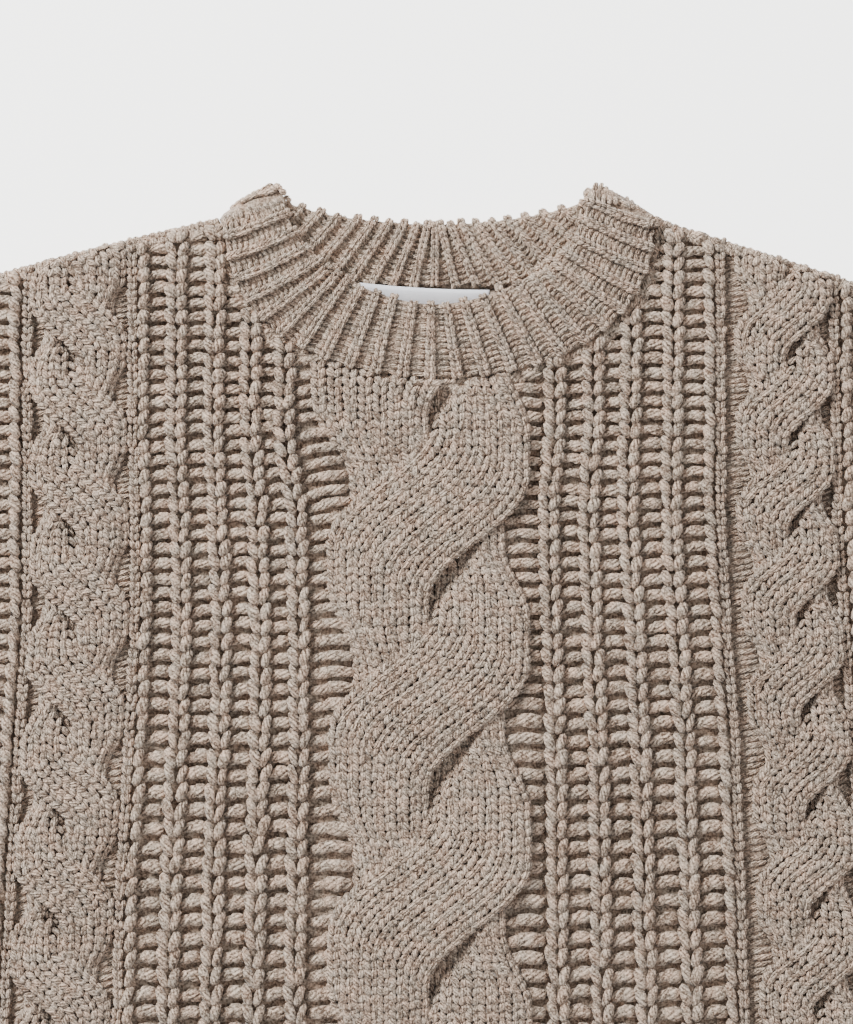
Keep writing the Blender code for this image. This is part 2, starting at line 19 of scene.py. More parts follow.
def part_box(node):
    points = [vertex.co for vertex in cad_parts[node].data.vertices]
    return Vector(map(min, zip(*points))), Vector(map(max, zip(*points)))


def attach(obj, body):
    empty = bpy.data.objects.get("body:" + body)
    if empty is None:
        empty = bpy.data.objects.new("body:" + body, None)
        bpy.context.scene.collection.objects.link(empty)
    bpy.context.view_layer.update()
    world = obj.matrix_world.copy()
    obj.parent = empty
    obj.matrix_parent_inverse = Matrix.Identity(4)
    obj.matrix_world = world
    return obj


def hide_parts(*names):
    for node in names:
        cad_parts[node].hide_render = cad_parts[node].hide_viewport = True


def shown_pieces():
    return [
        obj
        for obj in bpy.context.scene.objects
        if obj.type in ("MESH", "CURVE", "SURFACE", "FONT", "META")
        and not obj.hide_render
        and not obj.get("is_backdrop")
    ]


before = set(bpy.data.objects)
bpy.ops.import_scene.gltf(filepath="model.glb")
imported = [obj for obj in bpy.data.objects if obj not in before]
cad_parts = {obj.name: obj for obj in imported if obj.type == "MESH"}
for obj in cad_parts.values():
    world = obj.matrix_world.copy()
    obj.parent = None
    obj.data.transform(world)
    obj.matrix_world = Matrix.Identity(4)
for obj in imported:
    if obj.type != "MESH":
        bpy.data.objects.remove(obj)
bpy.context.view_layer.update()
MM = 0.001
print("CAD nodes:", sorted(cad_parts))

# %% [markdown]
# ## The dress's own sizes
#
# A place on the garment is given by its distance from the centre line and its drop, which is
# how far it lies below the top of the neckband. The knitting fans out a little on its way
# down, so columns of stitches, which knitters call wales, are named by where they are at the
# chest, and two short tables of widths turn that into a place on the floor. These are the same
# driving sizes as the CAD's.

# %% Sizes that the knitting follows
GARMENT_LENGTH = 900 * MM
HEM_RIB_HEIGHT = 60 * MM
BODY_BOTTOM = GARMENT_LENGTH - HEM_RIB_HEIGHT
HALF_CHEST = 285 * MM
TOP_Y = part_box("front_hem_rib")[0][1] + GARMENT_LENGTH
FAN_DROPS = [0 * MM, 227 * MM, 410 * MM, 620 * MM, 900 * MM]
FAN_SHARES = [0.955, 1.000, 1.050, 1.090, 1.120]
FRONT_UNDERSIDE = 4.3 * MM
FRONT_WALL = 4.5 * MM
EDGE_ROUNDING = 9 * MM      # how far in from its edge the front is rounded off
GROUND = FRONT_UNDERSIDE + FRONT_WALL
SIDES = ((-1, "left"), (1, "right"))    # as seen in the photograph


def spread(drop):
    """Width of the knitting at a drop, as a share of its width at the chest."""
    return np.interp(drop, FAN_DROPS, FAN_SHARES)


print("top of the neckband at y =", round(TOP_Y / MM, 1), "mm")

# %% Where the wales wander
# Columns are places at the chest in mm. Each row gives a drop in mm, and how far out each of
# those places lies there, as a share.
WANDER_AT = (-285, -229, -197, -162, -118, -97, -76, -60, -4, 50, 64, 110, 157, 197, 285)
WANDER = (
    (60, 1.00, 1.00, 1.00, 1.01, 1.03, 1.05, 1.09, 1.19, 1, 1.00, 1.03, 0.99, 0.98, 0.98, 0.98),
    (138, 1.00, 1.00, 1.00, 1.01, 1.04, 1.06, 1.11, 1.14, 1, 1.00, 1.03, 0.98, 0.98, 0.99, 0.98),
    (182, 1.00, 1.00, 1.00, 1.00, 1.02, 1.02, 1.01, 1.00, 1, 1.00, 0.97, 0.97, 0.98, 0.99, 0.99),
    (244, 1.00, 1.00, 1.00, 1.00, 1.00, 1.00, 1.00, 0.98, 1, 1.00, 1.00, 1.00, 1.00, 1.01, 1.00),
    (310, 1.02, 1.02, 1.02, 1.02, 1.01, 1.00, 0.99, 0.97, 1, 1.01, 1.03, 1.03, 1.03, 1.03, 1.02),
    (391, 1.04, 1.04, 1.04, 1.05, 1.04, 1.03, 1.01, 0.98, 1, 1.02, 1.05, 1.05, 1.05, 1.05, 1.04),
    (620, 1.09, 1.09, 1.09, 1.09, 1.08, 1.07, 1.05, 1.03, 1, 1.06, 1.08, 1.09, 1.09, 1.09, 1.09),
    (900, 1.12, 1.12, 1.12, 1.12, 1.11, 1.10, 1.08, 1.06, 1, 1.09, 1.11, 1.12, 1.12, 1.12, 1.12),
)
GUESSES = 6


def placed(x, drop):
    """Distance from the centre line, at a drop, of knitting that is at x at the chest."""
    drops = np.array([row[0] for row in WANDER]) * MM
    shares = np.array([np.interp(x, np.array(WANDER_AT) * MM, row[1:]) for row in WANDER])
    place = np.interp(drop, drops, np.arange(len(drops)))
    upper = np.minimum(place.astype(int), len(drops) - 2)
    part, each = place - upper, np.arange(len(x))
    return x * (shares[upper, each] * (1 - part) + shares[upper + 1, each] * part)


def unplaced(wide, drop):
    """Place at the chest of knitting that lies at some distance at a drop, by better guesses."""
    x = wide
    for _ in range(GUESSES):
        x = x + wide - placed(x, drop)
    return x


seam_end = placed(np.array([HALF_CHEST]), np.array([GARMENT_LENGTH]))[0]
print("side seams end", round(seam_end / MM), "mm from the centre line")

# %% [markdown]
# ## Where the front panel ends
#
# Near a fold or a seam the cloth curves down, and no stitch may lie outside the panel. The
# packed panel knows its own outline: it is the border of its flat underside. Reading it there
# keeps the stitches and the solid together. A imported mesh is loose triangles, so a copy of it
# is merged before anything else is asked of it.

# %% Read the panel's outline from a merged copy
MERGE = 1e-6
SAME_PLACE = 1e-5
FACES_DOWN = -0.99          # a face is underside if its normal's height is less than this
Outline = namedtuple("Outline", "start end rim")


def merged_copy(node):
    """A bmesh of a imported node, with its loose triangles joined. The node isn't changed."""
    bm = bmesh.new()
    bm.from_mesh(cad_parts[node].data)
    bmesh.ops.remove_doubles(bm, verts=bm.verts, dist=MERGE)
    return bm


def read_outline(node):
    """Border segments of a node's underside, and the height of the rim above each."""
    bm = merged_copy(node)
    bm.normal_update()
    flat = {face for face in bm.faces if face.normal.z < FACES_DOWN}
    starts, ends, rims = [], [], []
    for edge in bm.edges:
        if sum(face in flat for face in edge.link_faces) == 1:
            here, there = edge.verts
            above = [e.other_vert(here).co.z for e in here.link_edges
                     if (e.other_vert(here).co.xy - here.co.xy).length < SAME_PLACE]
            starts.append(here.co.xy[:])
            ends.append(there.co.xy[:])
            rims.append(max(above, default=here.co.z) - here.co.z)
    bm.free()
    return Outline(np.array(starts), np.array(ends), np.array(rims))


def edge_distance(outline, x, y):
    """Distance from each point to an outline, and the rim height at the nearest edge."""
    point = np.stack([x, y], axis=1)[:, None, :]
    run = outline.end - outline.start
    share = ((point - outline.start) * run).sum(2) / (run * run).sum(1)
    nearest = outline.start + np.clip(share, 0, 1)[:, :, None] * run
    away = np.linalg.norm(point - nearest, axis=2)
    edge = away.argmin(1)
    return away[np.arange(len(edge)), edge], outline.rim[edge]


def within(outline, x, y):
    """True for each point that lies inside an outline."""
    (ax, ay), (bx, by) = outline.start.T, outline.end.T
    y = y[:, None]
    crosses = (ay > y) != (by > y)
    with np.errstate(divide="ignore", invalid="ignore"):
        meets = ax + (bx - ax) * (y - ay) / (by - ay)
    return (crosses & (x[:, None] < meets)).sum(1) % 2 == 1


FRONT = read_outline("front_panel")
print("front panel's outline has", len(FRONT.start), "edges")

# %% [markdown]
# ## One leaf of yarn
#
# On the face of knitting only one side of each loop's leg shows, a short leaf that is pointed
# where it dives under its neighbour. A squashed sphere with few faces is just that. It is made
# once with create_uvsphere, which also gives it a UV map: one direction runs round the yarn,
# the other along it, so that a material can twist its plies round every leaf.

# %% Make the leaf
Leaf = namedtuple("Leaf", "points triangles uvs")
LEAF_FULLNESS = 0.70        # under 1 is fuller towards the ends than a ball


def yarn_leaf(around, along):
    """A low-poly leaf one unit long, wide and high: points, triangles and corner UVs."""
    bm = bmesh.new()
    uv_map = bm.loops.layers.uv.new("Yarn")
    bmesh.ops.create_uvsphere(bm, u_segments=around, v_segments=along, radius=0.5,
                              calc_uvs=True)
    bmesh.ops.triangulate(bm, faces=bm.faces)
    bmesh.ops.recalc_face_normals(bm, faces=bm.faces)
    points = np.array([v.co[:] for v in bm.verts])
    radius = np.hypot(points[:, 0], points[:, 1])
    fuller = np.maximum(2 * radius, MERGE) ** (LEAF_FULLNESS - 1)
    points[:, :2] *= fuller[:, None]
    triangles = np.array([[v.index for v in face.verts] for face in bm.faces])
    uvs = np.array([[loop[uv_map].uv[:] for loop in face.loops] for face in bm.faces])
    bm.free()
    return Leaf(points, triangles, uvs)


FINE_LEAF = yarn_leaf(around=6, along=4)
PLAIN_LEAF = yarn_leaf(around=5, along=3)
print("a fine leaf has", len(FINE_LEAF.triangles), "triangles, a plain one",
      len(PLAIN_LEAF.triangles))

# %% [markdown]
# ## Laying yarn in rows
#
# A stitch is a short table of legs in its own small frame: across the column, down the column,
# and lift off the cloth. The same table is laid at every place of a wale, turned with the cloth
# there. Hand-knitted rows are never quite equal, so each leg gets a small, seeded, uneven
# shift, turn and thickness. numpy places all legs of a region at once, and they become one
# joined mesh, because thousands of separate objects would be slow and of no use to anyone.

# %% Places and lines
Leg = namedtuple("Leg", "start end width height bow")      # in mm: across, down, up
Places = namedtuple("Places", "point across down up")


def unit(vectors):
    """The same directions, each vector one long."""
    return vectors / np.linalg.norm(vectors, axis=1, keepdims=True)


def frames(point, down, up):
    """Places with square frames: down is turned into the cloth, and across is its right."""
    up = unit(up)
    down = unit(down - up * (down * up).sum(1, keepdims=True))
    return Places(point, np.cross(up, down), down, up)


def kept(places, keep):
    """Only the places that keep names."""
    return Places(*(vectors[keep] for vectors in places))


def way_along(line):
    """How far each point of a line lies from its start, along the line."""
    return np.concatenate([[0], np.cumsum(np.linalg.norm(np.diff(line, axis=0), axis=1))])


def sampled(line, lengths, wanted):
    """Points of a line at wanted lengths, where its own points lie at the given lengths."""
    return np.stack([np.interp(wanted, lengths, axis) for axis in line.T], 1)


corner_line = np.array([[0, 0], [3, 0], [3, 4]])
print("a line that goes 3 right and 4 up is", way_along(corner_line)[-1], "long")

# %% Lay the legs of stitches
UNEVEN_SHIFT, UNEVEN_SWING = 0.22, 0.20     # how unevenly a leg lies and turns, in mm
SHIFT_SHARES = (1, 1, 0.5)                  # across, down and up
SWING_SHARES = (1, 0.6, 0.5)
UNEVEN_WIDTH = 0.06


def lay_legs(places, legs, seed, uneven, scale=1.0):
    """One row of numbers for each leg laid: its ends, upward direction, width, height, bow."""
    random = np.random.default_rng(seed)
    count = len(places.point)
    rows = []
    for leg in legs:
        shift = random.normal(0, UNEVEN_SHIFT * uneven, (count, 3)) * SHIFT_SHARES
        swing = random.normal(0, UNEVEN_SWING * uneven, (count, 3)) * SWING_SHARES
        fat = 1 + random.normal(0, UNEVEN_WIDTH * uneven, count)
        lies_across = abs(leg.end[0] - leg.start[0]) > abs(leg.end[1] - leg.start[1])
        stretch = np.linalg.norm(places.down if lies_across else places.across, axis=1)
        ends = []
        for end, sign in ((leg.start, -1), (leg.end, 1)):
            local = (np.array(end) * scale + shift + sign * swing) * MM
            ends.append(places.point + places.across * local[:, :1]
                        + places.down * local[:, 1:2] + places.up * local[:, 2:])
        rows.append(np.hstack([
            ends[0], ends[1], places.up, (leg.width * scale * fat * stretch * MM)[:, None],
            (leg.height * fat * MM)[:, None], np.full((count, 1), leg.bow * MM)]))
    return np.concatenate(rows)


print("where uneven is 1, most legs are shifted less than", UNEVEN_SHIFT, "mm each way")

# %% [markdown]
# ## From legs to a mesh
#
# Every leg is a copy of the leaf, stretched from its start to its end and bowed upwards in the
# middle. Legs that the photograph shows get the finer leaf, the others the plain one. The UV
# map runs on along the yarn, so a long leg has more twists than a short one, and each leg
# starts at a place of its own, so that no two are flecked alike.

# %% Points of the leaves
FLOOR_CLEAR = 0.3 * MM
UV_LENGTH = 10 * MM         # how much yarn one unit of the UV map holds
UV_STARTS = 90              # each leg's yarn starts somewhere on so many units


def leaf_points(rows, leaf):
    """Corner points of every leg of some rows, all made from one leaf."""
    start, end, up = rows[:, 0:3], rows[:, 3:6], rows[:, 6:9]
    width, height, bow = rows[:, 9:10], rows[:, 10:11], rows[:, 11:12]
    run = end - start
    side = unit(np.cross(up, run))
    lift = unit(np.cross(run, side))
    u, v, w = leaf.points.T
    arch = (1 - 4 * w * w)[None, :, None]       # 1 half way along a leaf, 0 at its ends
    points = ((start + end) / 2)[:, None, :] + run[:, None, :] * w[None, :, None]
    points = points + (side * width)[:, None, :] * u[None, :, None]
    points = points + (lift * height)[:, None, :] * v[None, :, None]
    points = points + (lift * bow)[:, None, :] * arch
    points[:, :, 2] = np.maximum(points[:, :, 2], FLOOR_CLEAR)
    return points.reshape(-1, 3)


def leaves_of(rows, leaf, random):
    """Points, triangles and corner UVs of all the legs of some rows."""
    count, size = len(rows), len(leaf.points)
    triangles = leaf.triangles[None] + (np.arange(count) * size)[:, None, None]
    length = np.linalg.norm(rows[:, 3:6] - rows[:, 0:3], axis=1)
    uvs = np.broadcast_to(leaf.uvs[None], (count,) + leaf.uvs.shape).copy()
    uvs[..., 1] *= (length / UV_LENGTH)[:, None, None]
    uvs[..., 1] += random.uniform(0, UV_STARTS, count)[:, None, None]
    return leaf_points(rows, leaf), triangles.reshape(-1, 3), uvs.reshape(-1, 2)


print("the UV map of a leaf 7 mm long runs over", 7 * MM / UV_LENGTH, "of its unit")

# %% Join the leaves
FINE_REACH, FINE_DROP = 245 * MM, 480 * MM     # what the photograph shows is laid finer


def yarn_mesh(name, points, triangles, uvs):
    """A smooth mesh of triangles with the yarn's UV map."""
    mesh = bpy.data.meshes.new(name)
    mesh.vertices.add(len(points))
    mesh.vertices.foreach_set("co", points.astype(np.float32).ravel())
    mesh.loops.add(triangles.size)
    mesh.loops.foreach_set("vertex_index", triangles.astype(np.int32).ravel())
    mesh.polygons.add(len(triangles))
    mesh.polygons.foreach_set("loop_start", np.arange(0, triangles.size, 3, dtype=np.int32))
    mesh.polygons.foreach_set("use_smooth", np.ones(len(triangles), bool))
    layer = mesh.uv_layers.new(name="Yarn")
    layer.data.foreach_set("uv", uvs.astype(np.float32).ravel())
    mesh.update(calc_edges=True)
    return mesh


def new_piece(name, mesh, materials):
    """An object of a mesh that rides on the dress."""
    for material in materials:
        mesh.materials.append(material)
    piece = bpy.data.objects.new(name, mesh)
    bpy.context.scene.collection.objects.link(piece)
    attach(piece, "root")
    return piece


def join_yarn(name, laid, material):
    """One piece of all the legs in a list of laid rows."""
    rows = np.concatenate(laid)
    shown = (np.abs(rows[:, 0]) < FINE_REACH) & (rows[:, 1] > TOP_Y - FINE_DROP)
    random = np.random.default_rng(len(rows))
    points, triangles, uvs = leaves_of(rows[shown], FINE_LEAF, random)
    more_points, more_triangles, more_uvs = leaves_of(rows[~shown], PLAIN_LEAF, random)
    triangles = np.concatenate([triangles, more_triangles + len(points)])
    mesh = yarn_mesh(name, np.concatenate([points, more_points]), triangles,
                     np.concatenate([uvs, more_uvs]))
    print(f"{name}: {len(rows)} legs, {shown.sum()} of them fine, {len(triangles)} triangles")
    return new_piece(name, mesh, [material])


print("yarn is laid fine down to", FINE_DROP / MM, "mm below the neckband's top")

# %% [markdown]
# ## The yarn's finish
#
# The yarn is a soft wool blend, spun from light and dark fibres, so close up it is flecked
# and from a step away it is taupe. Two effects serve the knitted pieces, so they are node
# groups: one mixes the heathered colour, the other twists the plies round a leaf and roughens
# them with fuzz. Wool is matt and has a pale bloom at a flat angle, which is the shader's own
# sheen, set once on its sockets. A few short helpers keep the node code readable.

# %% Node helpers


def fill(tree, socket, value):
    """Links another node's output to a socket, or sets the socket to a plain value."""
    if isinstance(value, bpy.types.NodeSocket):
        tree.links.new(value, socket)
    else:
        socket.default_value = value


def add_node(tree, kind, inputs, **settings):
    """A new shader node with its settings made and its inputs filled."""
    node = tree.nodes.new("ShaderNode" + kind)
    for setting, value in settings.items():
        setattr(node, setting, value)
    for socket, value in inputs.items():
        fill(tree, node.inputs[socket], value)
    return node


def noise(tree, vector, scale, detail, roughness):
    values = {"Vector": vector, "Scale": scale, "Detail": detail, "Roughness": roughness}
    return add_node(tree, "TexNoise", values).outputs["Fac"]


def math_node(tree, operation, *values):
    return add_node(tree, "Math", dict(enumerate(values)), operation=operation).outputs[0]


def ranged(tree, *value_and_range):
    """A value stretched from one range, low and high, to another one."""
    return add_node(tree, "MapRange", dict(enumerate(value_and_range))).outputs[0]


def mix_colour(tree, blend, factor, first, second):
    return add_node(tree, "Mix", {0: factor, 6: first, 7: second}, data_type="RGBA",
                    blend_type=blend).outputs[2]


print("node groups so far:", len(bpy.data.node_groups))

# %% Helpers for places, groups and materials


def parts_of(tree, vector):
    """The x and y of a vector."""
    parts = add_node(tree, "SeparateXYZ", {0: vector})
    return parts.outputs["X"], parts.outputs["Y"]


def object_place(tree):
    return add_node(tree, "TexCoord", {}).outputs["Object"]


def yarn_place(tree):
    """Place round the yarn and along it, from a leaf's UV map."""
    return parts_of(tree, add_node(tree, "UVMap", {}, uv_map="Yarn").outputs[0])


def new_group(name, inputs, output):
    """A node group with its named inputs and one output."""
    group = bpy.data.node_groups.new(name, "ShaderNodeTree")
    for socket, kind, value in inputs:
        made = group.interface.new_socket(name=socket, in_out="INPUT", socket_type=kind)
        if value is not None:
            made.default_value = value
    group.interface.new_socket(name=output[0], in_out="OUTPUT", socket_type=output[1])
    return group, group.nodes.new("NodeGroupInput"), group.nodes.new("NodeGroupOutput")


def new_material(name):
    """A material, its node tree and its shader."""
    material = bpy.data.materials.new(name)
    material.use_nodes = True
    return material, material.node_tree, material.node_tree.nodes["Principled BSDF"]


print("materials so far:", len(bpy.data.materials))

# %% Heathered colour group
STREAKS_ROUND, STREAKS_ALONG = 10.0, 2.6    # how fine the streaks are round the yarn, along it
FIBRE_LEAD = 5.5            # how far they turn along 10 mm; STREAKS_ROUND is a whole turn
COOL_TINT = (0.955, 1.0, 1.015, 1)
WARM_TINT = (1.055, 0.98, 0.94, 1)


def heather_group():
    """Colour of the blended yarn: flecks, streaks along the yarn and broad uneven patches."""
    group, given, result = new_group(
        "heathered_colour",
        [("Light", "NodeSocketColor", None), ("Dark", "NodeSocketColor", None)],
        ("Colour", "NodeSocketColor"))
    place = object_place(group)
    around, along = yarn_place(group)
    lead = math_node(group, "MULTIPLY", along, FIBRE_LEAD)
    twisted = add_node(group, "CombineXYZ", {
        0: math_node(group, "MULTIPLY_ADD", around, STREAKS_ROUND, lead),
        1: math_node(group, "MULTIPLY", along, STREAKS_ALONG)}).outputs[0]
    # Each effect: its place, scale, detail and roughness, the range that is stretched out to
    # run from 0 to 1, and its weight. They are flecks, streaks, uneven legs and patches.
    effects = ((place, 900, 1.0, 0.5, 0.38, 0.62, 0.38),
               (twisted, 1.15, 1.5, 0.6, 0.36, 0.64, 0.40),
               (place, 150, 1.0, 0.55, 0.35, 0.65, 0.14),
               (place, 14, 2.0, 0.55, 0.3, 0.7, 0.08))
    share = 0.0
    for vector, scale, detail, roughness, low, high, weight in effects:
        level = ranged(group, noise(group, vector, scale, detail, roughness), low, high, 0, 1)
        share = math_node(group, "MULTIPLY_ADD", level, weight, share)
    share = ranged(group, share, 0.22, 0.78, 0, 1)
    colour = mix_colour(group, "MIX", share, given.outputs["Dark"], given.outputs["Light"])
    warm = ranged(group, noise(group, place, 120, 2.0, 0.55), 0.35, 0.65, 0, 1)
    tint = mix_colour(group, "MIX", warm, COOL_TINT, WARM_TINT)
    fill(group, result.inputs[0], mix_colour(group, "MULTIPLY", 1.0, colour, tint))
    return group


HEATHER = heather_group()
print("made group", HEATHER.name)

# %% Spun-yarn relief group
PLIES = 6.0                 # ridges round a leaf
TURNS = 3.3                 # how many ridges a line along the yarn crosses in 10 mm
FUZZ_SCALE, FUZZ_HEIGHT = 1500, 0.8


def spun_group():
    """Height of the plies that twist round a leaf, roughened by fuzz."""
    group, given, result = new_group(
        "spun_plies",
        [("Plies", "NodeSocketFloat", PLIES), ("Turns", "NodeSocketFloat", TURNS)],
        ("Height", "NodeSocketFloat"))
    around, along = yarn_place(group)
    ridge = math_node(group, "MULTIPLY", around, given.outputs["Plies"])
    ridge = math_node(group, "MULTIPLY_ADD", along, given.outputs["Turns"], ridge)
    wave = math_node(group, "SINE", math_node(group, "MULTIPLY", ridge, 2 * math.pi))
    plies = math_node(group, "SQRT", ranged(group, wave, -1, 1, 0, 1))
    fuzz = noise(group, object_place(group), FUZZ_SCALE, 2.0, 0.6)
    fill(group, result.inputs[0], math_node(group, "MULTIPLY_ADD", fuzz, FUZZ_HEIGHT, plies))
    return group


SPUN = spun_group()
print("made group", SPUN.name)

# %% [markdown]
# ### One material for all the wool
#
# The material takes its colour from the heather group and its relief from another group. The
# same height does two things: it darkens the creases, where light hardly gets in, and it
# feeds a Bump node, which turns the normal. The ribs of the real dress look a little lighter
# than its body, so they get their own shades of the same two fibres.

# %% Yarn materials
YARN_LIGHT = (0.760, 0.592, 0.462, 1)
YARN_DARK = (0.122, 0.082, 0.058, 1)
RIB_LIGHTER, RIB_DARKS_LIGHTER = 1.09, 1.06
# crease: from which height to which, and the tone at each. bump: its strength and its height.
Relief = namedtuple("Relief", "group settings crease bump")
YARN_RELIEF = Relief(SPUN, {"Turns": TURNS}, (0.25, 1.25, 0.72, 1.09), (0.9, 0.6 * MM))
YARN_FINISH = {"Roughness": 0.92, "Specular IOR Level": 0.25, "Sheen Weight": 0.35,
               "Sheen Roughness": 0.45, "Sheen Tint": (0.95, 0.90, 0.84, 1)}


def shaded(colour, share):
    """A colour, lighter or darker by a share."""
    return tuple(channel * share for channel in colour[:3]) + (1,)


def finish_surface(tree, shader, colour, height, bump, finish):
    """Fills in a shader's colour, the relief that turns its normal, and its finish."""
    strength, distance = bump
    node = add_node(tree, "Bump", {"Strength": strength, "Distance": distance,
                                   "Height": height})
    sockets = {**finish, "Base Color": colour, "Normal": node.outputs[0]}
    for socket, value in sockets.items():
        fill(tree, shader.inputs[socket], value)


def wool_material(name, light, dark, relief, finish):
    """Matt heathered wool with a relief, darker in its creases."""
    material, tree, shader = new_material(name)
    heather = add_node(tree, "Group", {"Light": light, "Dark": dark}, node_tree=HEATHER)
    height = add_node(tree, "Group", relief.settings, node_tree=relief.group).outputs[0]
    crease = ranged(tree, height, *relief.crease)
    tone = add_node(tree, "CombineColor", {0: crease, 1: crease, 2: crease})
    colour = mix_colour(tree, "MULTIPLY", 1.0, heather.outputs[0], tone.outputs[0])
    finish_surface(tree, shader, colour, height, relief.bump, finish)
    return material


WOOL = wool_material("heathered_wool", YARN_LIGHT, YARN_DARK, YARN_RELIEF, YARN_FINISH)
RIB_WOOL = wool_material("heathered_wool_rib", shaded(YARN_LIGHT, RIB_LIGHTER),
                         shaded(YARN_DARK, RIB_DARKS_LIGHTER), YARN_RELIEF, YARN_FINISH)
print("made", WOOL.name, "and", RIB_WOOL.name)

# %% [markdown]
# ## The cloth under the stitches
#
# Behind the bends that show lies the rest of each loop, and that is a thin cloth wall. Each
# wall is the merged copy of its CAD solid, so it has the garment's true form all round, and
# its upper face is sunk by a yarn's half thickness, so that the leaves laid on it bring the
# surface back to the CAD's. Where no leaf lies, as on the back and under the sleeves, the
# wall shows itself, so its material has plain knitting in its own relief: a node group works
# out the V of each stitch from the place on the cloth.

# %% Plain knitting as a relief group
STITCH_WIDTH = 6.8          # in mm
STITCH_ROW = 4.7
LEG_CLIMB = 1.3             # how steep a leg is: rows that it climbs for a stitch's width


def plain_knit_group():
    """Height of stockinette on level cloth, from Object coordinates."""
    group, given, result = new_group(
        "plain_knit", [("Turn", "NodeSocketFloat", 0.0)], ("Height", "NodeSocketFloat"))
    turned = add_node(group, "VectorRotate", {
        "Vector": object_place(group), "Angle": given.outputs["Turn"]}, rotation_type="Z_AXIS")
    right, up = parts_of(group, turned.outputs[0])
    column = math_node(group, "MULTIPLY", right, 1 / (STITCH_WIDTH * MM))
    column = math_node(group, "SUBTRACT", math_node(group, "FRACT", column), 0.5)
    across = math_node(group, "ABSOLUTE", column)
    climb = math_node(group, "MULTIPLY", across, LEG_CLIMB)
    row = math_node(group, "MULTIPLY", up, 1 / (STITCH_ROW * MM))
    row = math_node(group, "FRACT", math_node(group, "SUBTRACT", row, climb))
    leg = math_node(group, "SINE", math_node(group, "MULTIPLY", row, math.pi))
    wale = math_node(group, "SINE", math_node(group, "MULTIPLY", across, 2 * math.pi))
    height = math_node(group, "MULTIPLY", math_node(group, "SQRT", leg),
                       math_node(group, "SQRT", wale))
    fill(group, result.inputs[0], height)
    return group


PLAIN_KNIT = plain_knit_group()
print("made group", PLAIN_KNIT.name)

# %% Cloth wall materials
# The cloth behind the stitches is the same yarn painted darker: painted shade for the gaps
# between the stitches.
GROUND_SHADE_SHARE = 0.75         # how light the cloth behind the stitches is
SLEEVE_ANGLE = math.radians(48)
BEHIND_RELIEF = Relief(PLAIN_KNIT, {"Turn": 0.0}, (0.0, 0.8, 0.85, 1.0), (1.0, 0.2 * MM))
PLAIN_RELIEF = Relief(PLAIN_KNIT, {"Turn": 0.0}, (0.0, 0.8, 0.45, 1.0), (1.0, 1.2 * MM))
WALL_FINISH = {"Roughness": 0.95, "Specular IOR Level": 0.2, "Sheen Weight": 0.25}
SHADED_GROUND_WOOL = wool_material("shaded_wool_behind_stitches", shaded(YARN_LIGHT, GROUND_SHADE_SHARE),
                            shaded(YARN_DARK, GROUND_SHADE_SHARE), BEHIND_RELIEF, WALL_FINISH)
PLAIN_WOOL = wool_material("wool_plain_knit", YARN_LIGHT, YARN_DARK, PLAIN_RELIEF, WALL_FINISH)
SLEEVE_WOOL = {}
for side, word in SIDES:
    turn = side * (SLEEVE_ANGLE - math.pi / 2)
    SLEEVE_WOOL[word] = wool_material("wool_sleeve_" + word, YARN_LIGHT, YARN_DARK,
                                      PLAIN_RELIEF._replace(settings={"Turn": turn}),
                                      WALL_FINISH)
print("made", 2 + len(SLEEVE_WOOL), "cloth wall materials")

# %% Lay the cloth walls
SINK, FRONT_SINK = 1.3 * MM, 1.8 * MM
POINTS_UP = 0.35            # a corner is on the upper side if its normal's height is more
UPPER_FACE = 0.2            # likewise for a face


def cloth_wall(name, node, materials, sink):
    """A knitted wall on its CAD solid's form, its upper face a little sunk."""
    bm = merged_copy(node)
    bm.normal_update()
    for vert in bm.verts:
        if sink and vert.normal.z > POINTS_UP:
            vert.co.z -= sink * vert.normal.z
    for face in bm.faces:
        face.smooth = True
        face.material_index = int(len(materials) > 1 and face.normal.z > UPPER_FACE)
    mesh = bpy.data.meshes.new(name)
    bm.to_mesh(mesh)
    bm.free()
    piece = new_piece(name, mesh, materials)
    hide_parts(node)
    return piece


wall_table = [("front", "front_panel", [PLAIN_WOOL, SHADED_GROUND_WOOL], FRONT_SINK),
              ("back", "back_panel", [PLAIN_WOOL], 0),
              ("neck", "neckband", [SHADED_GROUND_WOOL], SINK),
              ("front_hem", "front_hem_rib", [PLAIN_WOOL, SHADED_GROUND_WOOL], SINK),
              ("back_hem", "back_hem_rib", [PLAIN_WOOL], 0)]
for side, word in SIDES:
    for node in ("sleeve_" + word, "cuff_" + word):
        wall_table.append((node, node, [SLEEVE_WOOL[word], SHADED_GROUND_WOOL], SINK))
WALLS = {name: cloth_wall(name + "_cloth", node, materials, sink)
         for name, node, materials, sink in wall_table}
print("cloth walls:", ", ".join(WALLS))

# %% [markdown]
# ## The form of the front
#
# Every leaf on the front needs a height and a slope. The ground cloth is level and rounds off
# towards its folds and seams, as in the CAD. Relief, such as a cable's, is added to it. The
# slope comes from two short steps, one to the right and one down, because their cross product
# points straight out of the cloth.

# %% Height and slope of the front
SLOPE_STEP = 0.6 * MM


def raised(rise):
    """The same relief everywhere."""
    return lambda x, drop: np.full(len(x), rise)


def front_height(x, drop, relief):
    """Height of the front for a relief above the ground, rounded off near its edges."""
    away, rim = edge_distance(FRONT, x, TOP_Y - drop)
    share = np.minimum(1, away / EDGE_ROUNDING)
    rounding = np.sqrt(1 - (1 - share) ** 2)
    full = FRONT_WALL + relief
    return FRONT_UNDERSIDE + rim + (full - rim) * rounding


